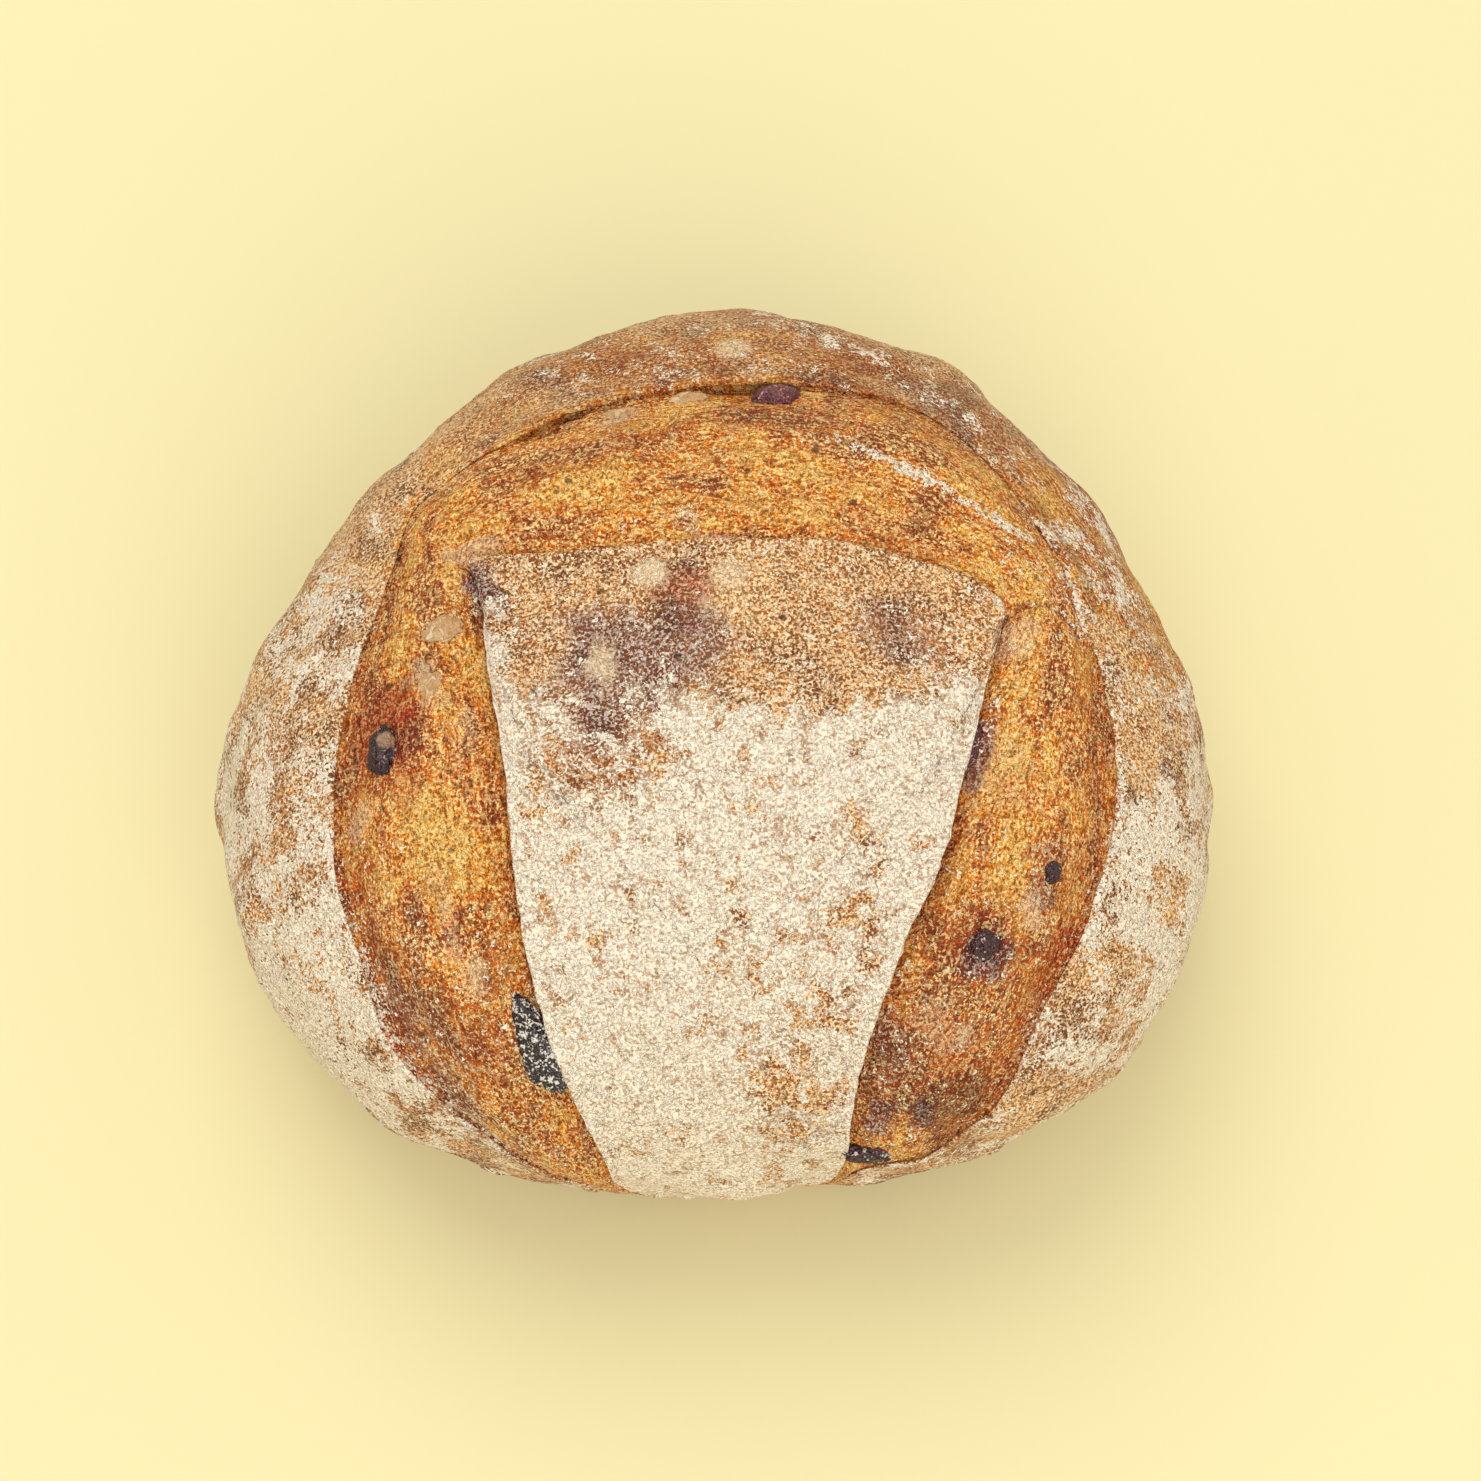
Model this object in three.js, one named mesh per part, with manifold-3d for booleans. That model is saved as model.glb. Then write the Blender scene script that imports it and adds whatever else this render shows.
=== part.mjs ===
// Round hand-shaped fruit and nut sourdough loaf, scored with a three-sided cut.
// Millimetres, +Z up. The loaf rests on its flat underside at z = 0. The uncut side of the
// flap faces -Y, and the long cut across the crown faces +Y.

import * as THREE from "three";
import { mergeVertices } from "three/addons/utils/BufferGeometryUtils.js";
import Module from "manifold-3d";

const wasm = await Module();
wasm.setup();

// Driving dimensions
const HEIGHT = 85;
const WIDEST_HEIGHT = 34;
const BASE_SHARE = 0.78;
const DOME_ROUNDNESS = 2.3;
const BELLY_ROUNDNESS = 2.2;
const CROWN_PLACE = [0.0, -2.48];
const BASE_FADE_START = 1.62;
const BASE_FADE_END = 1.95;

// Radius of the widest line, every 20 degrees from +X, counterclockwise seen from above
const PLAN_RADII = [
  85.6, 81.3, 81.1, 82.7, 82.6, 81.4, 79.7, 78.3, 80.2,
  85.5, 88.9, 86.8, 81.8, 77.4, 75.5, 81.6, 87.9, 88.7,
];

// A place on the skin is an angle round the crown and a reach: 0 at the crown, 1 at the
// widest line and 2 at the edge of the flat underside.
const REACH_PER_MM = 1 / 112;

// Stations round the cut, counterclockwise from the front middle:
// flap edge angle and reach, outer edge angle and reach, then in mm the groove beside the
// flap, the flap's raised edge, the bulge of the opened dough, the step down from the
// crust and the crust's raised edge.
const STATIONS = [
  [272.0, 1.32, 272.0, 1.37, 0.0, 0.0, 0.0, 0.0, 0.0],
  [283.0, 1.24, 284.0, 1.29, 0.0, 0.0, 0.0, 0.0, 0.0],
  [286.2, 0.948, 289.3, 0.998, 0.9, 0.4, 0.3, 0.4, 0.2],
  [287.6, 0.777, 296.6, 0.958, 2.0, 0.7, 0.9, 0.6, 0.4],
  [291.3, 0.614, 305.3, 0.816, 2.6, 0.8, 1.5, 0.8, 0.5],
  [299.6, 0.466, 313.7, 0.665, 3.0, 1.0, 2.0, 1.0, 0.6],
  [314.7, 0.357, 328.0, 0.577, 3.2, 1.1, 2.0, 1.2, 0.7],
  [333.9, 0.298, 345.2, 0.54, 3.2, 1.0, 1.8, 1.3, 0.8],
  [354.0, 0.302, 1.6, 0.515, 2.8, 0.9, 1.6, 1.0, 0.5],
  [7.0, 0.342, 10.0, 0.497, 1.8, 0.6, 1.4, 0.6, 0.3],
  [13.5, 0.372, 20.0, 0.517, 0.8, 0.5, 1.2, 0.2, 0.1],
  [22.0, 0.325, 33.0, 0.53, 0.5, 0.5, 1.6, 0.2, 0.1],
  [40.0, 0.218, 51.0, 0.515, 0.5, 0.6, 2.2, 0.3, 0.3],
  [70.5, 0.138, 69.0, 0.445, 0.5, 0.7, 2.8, 0.6, 0.6],
  [107.0, 0.135, 90.0, 0.408, 0.5, 0.7, 3.0, 0.9, 1.1],
  [135.0, 0.193, 111.0, 0.43, 0.5, 0.7, 2.8, 0.6, 0.7],
  [148.0, 0.265, 130.0, 0.458, 0.7, 0.7, 2.2, 0.3, 0.3],
  [154.5, 0.345, 146.0, 0.545, 1.5, 1.0, 1.4, 0.1, 0.1],
  [160.0, 0.31, 157.0, 0.49, 2.8, 1.2, 1.2, 0.4, 0.2],
  [177.0, 0.253, 173.0, 0.46, 3.8, 1.4, 1.4, 0.8, 0.4],
  [207.0, 0.244, 197.0, 0.5, 4.0, 1.5, 1.8, 0.9, 0.4],
  [230.4, 0.363, 214.8, 0.592, 3.8, 1.4, 2.0, 0.9, 0.4],
  [242.9, 0.516, 229.2, 0.745, 3.2, 1.2, 2.0, 0.8, 0.4],
  [251.4, 0.693, 243.6, 0.913, 2.6, 1.0, 1.5, 0.7, 0.4],
  [256.4, 0.867, 251.6, 1.04, 1.8, 0.7, 0.9, 0.5, 0.3],
  [258.8, 1.06, 258.3, 1.13, 0.7, 0.3, 0.3, 0.3, 0.1],
  [262.0, 1.26, 262.0, 1.31, 0.0, 0.0, 0.0, 0.0, 0.0],
];

// The middle of the flap: angle and reach
const FLAP_MIDDLE = [270, 0.45];

// Where the crust stands off the opened dough as an ear: the middle and half the width in
// degrees, then in mm how far the crust hangs over and how deep the gap under it is
const EAR_GAPS = [
  [84, 9, 2.2, 2.4],
  [121, 7, 1.2, 1.6],
];

// The share of the way across the opened dough where the gap under an ear begins
const EAR_REACH = 0.8;

// Rows across the crust's edge, from under the ear to the plain crust: a share of the
// overhang, mm outward, a share of the depth of step and gap, a share of the raised edge
const EAR_ROWS = [
  [1, 0.5, -0.62, 0],
  [0.45, 0.2, -0.32, 0],
  [0, -0.15, 0, 0.2],
  [0, 0.9, 0, 1],
  [0, 3.4, 0, 0.5],
];
const CRUST_START = 4;

// The flap's raised edge: mm inward of its highest line, and the share it has risen there
const FLAP_LIP_INSET = 0.9;
const FLAP_LIP_SHARE = 0.85;

// How far the dough starts outward of the flap edge, in mm, so that its wall leans
const WALL_LEAN = 0.35;

// How soon the opened dough rises beside the flap, and how late it sinks to the crust
const BULGE_POWERS = [0.7, 1.8];

// Lumps that fruit and nuts push up under the skin: angle, reach, radius and height in mm
const LUMPS = [
  [355, 1.02, 5, 2.2],
  [120, 0.9, 6, 1.8],
  [98, 0.84, 7, 1.0],
  [274, 1.1, 8, 1.6],
  [198, 1.0, 9, -1.8],
  [184, 0.98, 7, 1.6],
  [35, 0.88, 6, 1.4],
  [60, 0.86, 8, 1.6],
  [320, 1.08, 8, 1.5],
  [230, 1.1, 7, 1.4],
];
const SCATTERED_LUMPS = 46;
const SCATTERED_LUMP_RADIUS = [4.5, 8.5];
const SCATTERED_LUMP_HEIGHT = [0.35, 1.0];
const LUMP_EDGE = 2.5;
const WAVINESS = 0.7;

// Fruit and nuts that show in the opened dough: the station they are beside, the share of
// the way from the flap edge to the outer edge, how far the middle stands above the dough,
// length, width and thickness, and the turn about the skin's normal in degrees
const FRUIT_GAP = 0.35;
const CRANBERRIES = {
  cranberry_left: [19.81, 0.65, 0.1, 8.4, 5.2, 4.8, 84],
  cranberry_front_left: [22.33, 0.1, 0.1, 18.0, 11.0, 6.0, -73],
  cranberry_right: [5.52, 0.41, -0.4, 5.2, 4.6, 4.2, 20],
  cranberry_small_right: [6.23, 0.61, -0.2, 3.8, 3.2, 3.0, 70],
  cranberry_under_ear: [13.46, 0.89, 0.3, 8.4, 5.0, 4.6, 10],
  cranberry_flap_edge: [7.4, 0.03, -0.9, 10.0, 3.6, 3.6, 72],
  cranberry_front_right: [2.49, 0.36, -0.2, 9.0, 4.4, 3.8, -10],
};
const WALNUTS = {
  walnut_left_upper: [18.86, 0.38, -1.0, 7.6, 5.0, 3.6, 20],
  walnut_left_lower: [19.38, 0.41, -1.0, 6.0, 4.6, 3.4, 65],
  walnut_under_ear: [14.21, 0.92, -0.9, 7.0, 4.0, 3.4, 5],
  walnut_crown: [14.87, 0.85, -1.0, 8.0, 4.4, 3.4, 20],
};

// How much narrower a drop-shaped fruit is at one end, as a share of its width
const TAPERS = { cranberry_front_left: 0.65 };

// Points round a ring at the flap's edge, the cut's outer edge, the belly and the base
const RING_AT_FLAP_EDGE = 104;
const RING_AT_CRUST = 120;
const RING_AT_BASE = 54;
const FLAP_RINGS = 9;
const DOUGH_RINGS = 6;
const CRUST_RINGS = 12;
const FRUIT_DETAIL = 3;
const BASE_RING_SHARES = [0.66, 0.33];

const radians = (degrees) => degrees * Math.PI / 180;
const mix = (from, to, share) => from + (to - from) * share;
const smooth = (from, to, value) => {
  const share = Math.min(1, Math.max(0, (value - from) / (to - from)));
  return share * share * (3 - 2 * share);
};
const scatter = (index, salt) => {
  const value = Math.sin(index * 12.9898 + salt * 78.233) * 43758.5453;
  return value - Math.floor(value);
};

// A smooth closed line through evenly numbered values
function throughLoop(values, place) {
  const count = values.length;
  const whole = Math.floor(place);
  const at = (step) => values[(((whole + step) % count) + count) % count];
  const t = place - whole;
  const [a, b, c, d] = [at(-1), at(0), at(1), at(2)];
  return b + 0.5 * t * (c - a + t * (2 * a - 5 * b + 4 * c - d + t * (3 * (b - c) + d - a)));
}

const spread = (angle, reach) => [
  reach * Math.cos(radians(angle)),
  reach * Math.sin(radians(angle)),
];

// The plain form before the cut, with flat places as [across, along] on the spread-out skin
function formPoint([across, along]) {
  const reach = Math.hypot(across, along);
  const angle = Math.atan2(along, across);
  const radius = throughLoop(PLAN_RADII, angle / radians(20));
  let out;
  let z;
  if (reach <= 1) {
    const arc = reach * Math.PI / 2;
    out = radius * Math.pow(Math.sin(arc), 2 / DOME_ROUNDNESS);
    z = WIDEST_HEIGHT
      + (HEIGHT - WIDEST_HEIGHT) * Math.pow(Math.max(0, Math.cos(arc)), 2 / DOME_ROUNDNESS);
  } else {
    const arc = Math.min(1, reach - 1) * Math.PI / 2;
    const inward = Math.pow(Math.max(0, Math.cos(arc)), 2 / BELLY_ROUNDNESS);
    out = radius * (BASE_SHARE + (1 - BASE_SHARE) * inward);
    z = WIDEST_HEIGHT * (1 - Math.pow(Math.sin(arc), 2 / BELLY_ROUNDNESS));
  }
  return new THREE.Vector3(
    CROWN_PLACE[0] + out * Math.cos(angle),
    CROWN_PLACE[1] + out * Math.sin(angle),
    z,
  );
}

function formNormal([across, along]) {
  const nudge = 0.004;
  const right = formPoint([across + nudge, along]).sub(formPoint([across - nudge, along]));
  const up = formPoint([across, along + nudge]).sub(formPoint([across, along - nudge]));
  return right.cross(up).normalize();
}

const between = (span, share) => mix(span[0], span[1], share);

function makeLumps() {
  const lumps = LUMPS.map(([angle, reach, radius, height]) => ({
    centre: formPoint(spread(angle, reach)), radius, height,
  }));
  for (let index = 0; index < SCATTERED_LUMPS; index += 1) {
    const reach = 0.45 + 0.95 * scatter(index, 2);
    lumps.push({
      centre: formPoint(spread(360 * scatter(index, 1), reach)),
      radius: between(SCATTERED_LUMP_RADIUS, scatter(index, 3)),
      height: between(SCATTERED_LUMP_HEIGHT, scatter(index, 4)),
    });
  }
  return lumps;
}
const lumps = makeLumps();

function relief(point) {
  let height = WAVINESS * (
    Math.sin(point.x * 0.11 + 1.3) * Math.sin(point.y * 0.13 + 0.4) * Math.sin(point.z * 0.1)
    + 0.6 * Math.sin(point.x * 0.23 + point.z * 0.19) * Math.sin(point.y * 0.27 + 2.1)
  );
  for (const lump of lumps) {
    const distance = point.distanceTo(lump.centre) / lump.radius;
    if (distance < LUMP_EDGE) height += lump.height * Math.exp(-distance * distance);
  }
  return height;
}

// The skin at a flat place, raised by a height in mm. Both fade out at the flat underside.
function skinPoint(place, height) {
  const point = formPoint(place);
  const reach = Math.hypot(place[0], place[1]);
  const fade = 1 - smooth(BASE_FADE_START, BASE_FADE_END, reach);
  const normal = formNormal(place);
  const raised = point.clone().addScaledVector(normal, (height + relief(point)) * fade);
  raised.z = Math.max(raised.z, 0);
  return raised;
}

// The overhang and the depth of the gap under the crust at a place on the outer edge
function earGap(across, along) {
  const angle = Math.atan2(along, across) / radians(1);
  let ear = 0;
  let gap = 0;
  for (const [middle, halfWidth, overhang, depth] of EAR_GAPS) {
    const off = (angle - middle) / halfWidth;
    const open = Math.sqrt(Math.max(0, 1 - off * off));
    ear += overhang * open;
    gap += depth * open;
  }
  return { ear, gap };
}

// The cut's edges and heights at a station number, which may lie between two stations
const FLAP_EDGE = STATIONS.map(([angle, reach]) => spread(angle, reach));
const OUTER_EDGE = STATIONS.map((row) => spread(row[2], row[3]));
function station(number) {
  const along = (rows, column) => throughLoop(rows.map((row) => row[column]), number);
  const depth = (column) => Math.max(0, along(STATIONS, column));
  return {
    flap: [along(FLAP_EDGE, 0), along(FLAP_EDGE, 1)],
    outer: [along(OUTER_EDGE, 0), along(OUTER_EDGE, 1)],
    groove: depth(4),
    flapLip: depth(5),
    bulge: depth(6),
    step: depth(7),
    crustLip: depth(8),
    ...earGap(along(OUTER_EDGE, 0), along(OUTER_EDGE, 1)),
  };
}

// A flat place some share of the way between two, moved on by a distance in mm
function along(from, to, share, mm = 0) {
  const length = Math.hypot(to[0] - from[0], to[1] - from[1]);
  const total = share + mm * REACH_PER_MM / length;
  return [mix(from[0], to[0], total), mix(from[1], to[1], total)];
}

// Station numbers spaced evenly along the middle of the cut
const TRACE_STEPS = 1300;
function traceCut() {
  const trace = [0];
  let last = null;
  for (let step = 0; step <= TRACE_STEPS; step += 1) {
    const cut = station(STATIONS.length * step / TRACE_STEPS);
    const middle = along(cut.flap, cut.outer, 0.5);
    if (last) trace.push(trace[step - 1] + Math.hypot(middle[0] - last[0], middle[1] - last[1]));
    last = middle;
  }
  return trace;
}
const trace = traceCut();

function stationAt(share) {
  const wanted = share * trace[TRACE_STEPS];
  let step = trace.findIndex((length) => length > wanted);
  if (step < 1) step = TRACE_STEPS;
  const part = (wanted - trace[step - 1]) / (trace[step] - trace[step - 1]);
  return STATIONS.length * (step - 1 + part) / TRACE_STEPS;
}

// One ring of points round the loaf: place is a function of the cut there
function ring(count, place) {
  const points = [];
  for (let index = 0; index < count; index += 1) {
    const cut = station(stationAt(index / count));
    const { at, height } = place(cut);
    points.push(skinPoint(at, height));
  }
  return points;
}

const flapMiddle = spread(...FLAP_MIDDLE);
const baseEdge = (cut) => {
  const reach = Math.hypot(cut.outer[0], cut.outer[1]);
  return [cut.outer[0] * 2 / reach, cut.outer[1] * 2 / reach];
};
const crustStart = (cut) => along(cut.outer, baseEdge(cut), 0, CRUST_START);

function flapRings() {
  const rings = [];
  for (let index = 1; index <= FLAP_RINGS; index += 1) {
    const share = index / (FLAP_RINGS + 0.35);
    const count = Math.max(10, Math.round(RING_AT_FLAP_EDGE * Math.min(1, share * 1.15)));
    rings.push(ring(count, (cut) => ({
      at: along(flapMiddle, cut.flap, share),
      height: cut.flapLip * 0.25 * smooth(0.75, 1, share),
    })));
  }
  rings.push(ring(RING_AT_FLAP_EDGE, (cut) => ({
    at: along(flapMiddle, cut.flap, 1, -FLAP_LIP_INSET),
    height: cut.flapLip * FLAP_LIP_SHARE,
  })));
  rings.push(ring(RING_AT_FLAP_EDGE, (cut) => ({
    at: cut.flap,
    height: cut.flapLip,
  })));
  return rings;
}

// The height of the opened dough, a share of the way from the flap to the outer edge
const doughHeight = (cut, share) => (
  -mix(cut.groove, cut.step, smooth(0, 1, share))
  + (cut.bulge + mix(cut.groove, cut.step, share))
    * Math.pow(Math.sin(Math.PI * share), mix(...BULGE_POWERS, share))
  - cut.gap * smooth(EAR_REACH, 1, share)
);

function doughRings() {
  const rings = [];
  for (let index = 0; index <= DOUGH_RINGS; index += 1) {
    const share = index / DOUGH_RINGS;
    const inEdge = WALL_LEAN * (1 - share);
    rings.push(ring(RING_AT_CRUST, (cut) => ({
      at: along(cut.flap, cut.outer, share, inEdge + cut.ear * smooth(EAR_REACH, 1, share)),
      height: doughHeight(cut, share),
    })));
  }
  return rings;
}

function earRings() {
  return EAR_ROWS.map(([earShare, mm, stepShare, lipShare]) => ring(RING_AT_CRUST, (cut) => ({
    at: along(cut.outer, baseEdge(cut), 0, cut.ear * earShare + mm),
    height: (cut.step + cut.gap) * stepShare + cut.crustLip * lipShare,
  })));
}

function crustRings() {
  const rings = [];
  for (let index = 1; index <= CRUST_RINGS; index += 1) {
    const share = index / CRUST_RINGS;
    const count = Math.round(mix(RING_AT_CRUST, RING_AT_BASE, smooth(0.45, 1, share)));
    rings.push(ring(count, (cut) => ({
      at: along(crustStart(cut), baseEdge(cut), share),
      height: 0,
    })));
  }
  return rings;
}

// The flat underside: rings shrinking to the middle, all at z = 0
function baseRings(edge) {
  const middle = new THREE.Vector3(CROWN_PLACE[0], CROWN_PLACE[1], 0);
  return BASE_RING_SHARES.map((share) => {
    const count = Math.round(RING_AT_BASE * share);
    const points = [];
    for (let index = 0; index < count; index += 1) {
      const from = edge[Math.round(index * edge.length / count) % edge.length];
      points.push(middle.clone().lerp(from, share));
    }
    return points;
  });
}

// Joins two rings that start at the same place and may differ in their number of points
function joinRings(inner, outer, triangles, innerStart, outerStart) {
  let i = 0;
  let j = 0;
  while (i < inner || j < outer) {
    const a = innerStart + i % inner;
    const b = outerStart + j % outer;
    if (j < outer && (i >= inner || (j + 1) * inner <= (i + 1) * outer)) {
      triangles.push(a, b, outerStart + (j + 1) % outer);
      j += 1;
    } else {
      triangles.push(a, b, innerStart + (i + 1) % inner);
      i += 1;
    }
  }
}

function closedFromRings(first, rings, last) {
  const points = [first, ...rings.flat(), last];
  const triangles = [];
  const starts = [];
  let start = 1;
  for (const one of rings) {
    starts.push(start);
    start += one.length;
  }
  const lastIndex = points.length - 1;
  rings[0].forEach((_, index) => {
    triangles.push(0, 1 + index, 1 + (index + 1) % rings[0].length);
  });
  for (let index = 0; index + 1 < rings.length; index += 1) {
    joinRings(rings[index].length, rings[index + 1].length, triangles,
      starts[index], starts[index + 1]);
  }
  const end = rings.length - 1;
  rings[end].forEach((_, index) => {
    const next = starts[end] + (index + 1) % rings[end].length;
    triangles.push(starts[end] + index, lastIndex, next);
  });
  const geometry = new THREE.BufferGeometry();
  geometry.setAttribute("position",
    new THREE.Float32BufferAttribute(points.flatMap((point) => point.toArray()), 3));
  geometry.setIndex(triangles);
  return geometry;
}

function loafGeometry() {
  const outside = [...flapRings(), ...doughRings(), ...earRings(), ...crustRings()];
  const edge = outside[outside.length - 1];
  edge.forEach((point) => point.setZ(0));
  const middle = new THREE.Vector3(CROWN_PLACE[0], CROWN_PLACE[1], 0);
  return closedFromRings(skinPoint(flapMiddle, 0), [...outside, ...baseRings(edge)], middle);
}

// A dried berry or a nut piece: a ball stretched to its size, creased by waves
function creasedBall(length, width, thickness, seed, creases, depth, taper) {
  const ball = new THREE.IcosahedronGeometry(1, FRUIT_DETAIL);
  ball.deleteAttribute("normal");
  ball.deleteAttribute("uv");
  const geometry = mergeVertices(ball, 1e-4);
  const position = geometry.attributes.position;
  const point = new THREE.Vector3();
  for (let index = 0; index < position.count; index += 1) {
    point.fromBufferAttribute(position, index).normalize();
    const wave = Math.sin(point.x * creases + seed * 1.7) * Math.sin(point.y * creases + seed)
      + 0.6 * Math.sin(point.z * creases * 1.3 + point.x * 3 + seed * 2.3);
    const narrowed = 1 - taper * (1 - point.x) / 2;
    point.multiplyScalar(1 + depth * wave);
    position.setXYZ(
      index,
      point.x * length / 2,
      point.y * narrowed * width / 2,
      point.z * narrowed * thickness / 2,
    );
  }
  return geometry;
}

// Where a fruit sits: on the dough, turned so that its flat side lies on the skin
function seat([number, share, rise, , , , turn]) {
  const cut = station(number);
  const place = along(cut.flap, cut.outer, share, cut.ear * smooth(EAR_REACH, 1, share));
  const normal = formNormal(place);
  const position = skinPoint(place, doughHeight(cut, share) + rise);
  const upright = new THREE.Quaternion().setFromUnitVectors(new THREE.Vector3(0, 0, 1), normal);
  const turned = new THREE.Quaternion().setFromAxisAngle(
    new THREE.Vector3(0, 0, 1), radians(turn));
  return { position, quaternion: upright.multiply(turned) };
}

function toSolid(geometry, matrix) {
  const moved = geometry.clone().applyMatrix4(matrix);
  return new wasm.Manifold(new wasm.Mesh({
    numProp: 3,
    vertProperties: moved.attributes.position.array,
    triVerts: Uint32Array.from(moved.index.array),
  }));
}

function toGeometry(solid) {
  const mesh = solid.getMesh();
  const geometry = new THREE.BufferGeometry();
  geometry.setAttribute("position", new THREE.BufferAttribute(mesh.vertProperties, 3));
  geometry.setIndex(new THREE.BufferAttribute(mesh.triVerts, 1));
  geometry.computeVertexNormals();
  return geometry;
}

const crustMaterial = new THREE.MeshStandardMaterial({
  color: 0xc98f52, roughness: 0.85, metalness: 0,
});
const cranberryMaterial = new THREE.MeshStandardMaterial({
  color: 0x3a1018, roughness: 0.45, metalness: 0,
});
const walnutMaterial = new THREE.MeshStandardMaterial({
  color: 0xd8b27a, roughness: 0.7, metalness: 0,
});

const loafGroup = new THREE.Group();
let loafSolid = toSolid(loafGeometry(), new THREE.Matrix4());

function addFruit(name, row, creases, depth, material) {
  const [number, , , length, width, thickness] = row;
  const { position, quaternion } = seat(row);
  const taper = TAPERS[name] ?? 0;
  const mesh = new THREE.Mesh(
    creasedBall(length, width, thickness, number, creases, depth, taper), material);
  mesh.name = name;
  mesh.position.copy(position);
  mesh.quaternion.copy(quaternion);
  mesh.updateMatrix();
  loafGroup.add(mesh);
  const room = 2 * FRUIT_GAP;
  const pocket = creasedBall(
    length + room, width + room, thickness + room, number, creases, depth, taper);
  loafSolid = loafSolid.subtract(toSolid(pocket, mesh.matrix));
}

for (const [name, row] of Object.entries(CRANBERRIES)) {
  addFruit(name, row, 5, 0.07, cranberryMaterial);
}
for (const [name, row] of Object.entries(WALNUTS)) {
  addFruit(name, row, 4, 0.1, walnutMaterial);
}

const loaf = new THREE.Mesh(toGeometry(loafSolid), crustMaterial);
loaf.name = "loaf";
loafGroup.add(loaf);

export default loafGroup;
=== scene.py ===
"""A round fruit and nut sourdough loaf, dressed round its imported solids."""

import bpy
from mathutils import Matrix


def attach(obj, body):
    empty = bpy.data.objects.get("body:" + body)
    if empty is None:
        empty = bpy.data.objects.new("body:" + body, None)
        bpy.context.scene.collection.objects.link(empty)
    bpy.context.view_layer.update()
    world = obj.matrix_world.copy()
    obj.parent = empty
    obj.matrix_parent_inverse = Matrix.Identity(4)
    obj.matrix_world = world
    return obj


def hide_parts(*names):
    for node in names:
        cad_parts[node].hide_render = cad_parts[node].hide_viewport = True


bl_info = {
    "name": "Fruit and Nut Sourdough Loaf",
    "version": (1, 0, 0),
    "blender": (4, 5, 0),
    "location": "View3D > Sidebar > Loaf",
    "description": "Makes a floured hearth loaf with a horseshoe score, its fruit and nuts",
    "category": "Add Mesh",
}

import math

import bpy
import numpy as np
from bpy.props import FloatProperty, FloatVectorProperty, PointerProperty
from mathutils import Matrix, Vector, noise

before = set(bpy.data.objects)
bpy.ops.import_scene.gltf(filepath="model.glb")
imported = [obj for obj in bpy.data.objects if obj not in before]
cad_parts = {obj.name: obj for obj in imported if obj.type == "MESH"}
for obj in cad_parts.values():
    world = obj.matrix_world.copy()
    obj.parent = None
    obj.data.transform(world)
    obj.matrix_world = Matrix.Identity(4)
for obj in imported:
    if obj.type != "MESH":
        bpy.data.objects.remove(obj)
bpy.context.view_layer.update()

MM = 0.001

# The plain form, in mm, as in the part's source
HEIGHT = 85
WIDEST_HEIGHT = 34
BASE_SHARE = 0.78
DOME_ROUNDNESS = 2.3
BELLY_ROUNDNESS = 2.2
CROWN_PLACE = np.array([0.0, -2.48])
BASE_FADE = (1.62, 1.95)
REACH_PER_MM = 1 / 112

# Radius of the widest line, every 20 degrees from +X, counterclockwise seen from above
PLAN_RADII = np.array([
    85.6, 81.3, 81.1, 82.7, 82.6, 81.4, 79.7, 78.3, 80.2,
    85.5, 88.9, 86.8, 81.8, 77.4, 75.5, 81.6, 87.9, 88.7,
])

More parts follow.
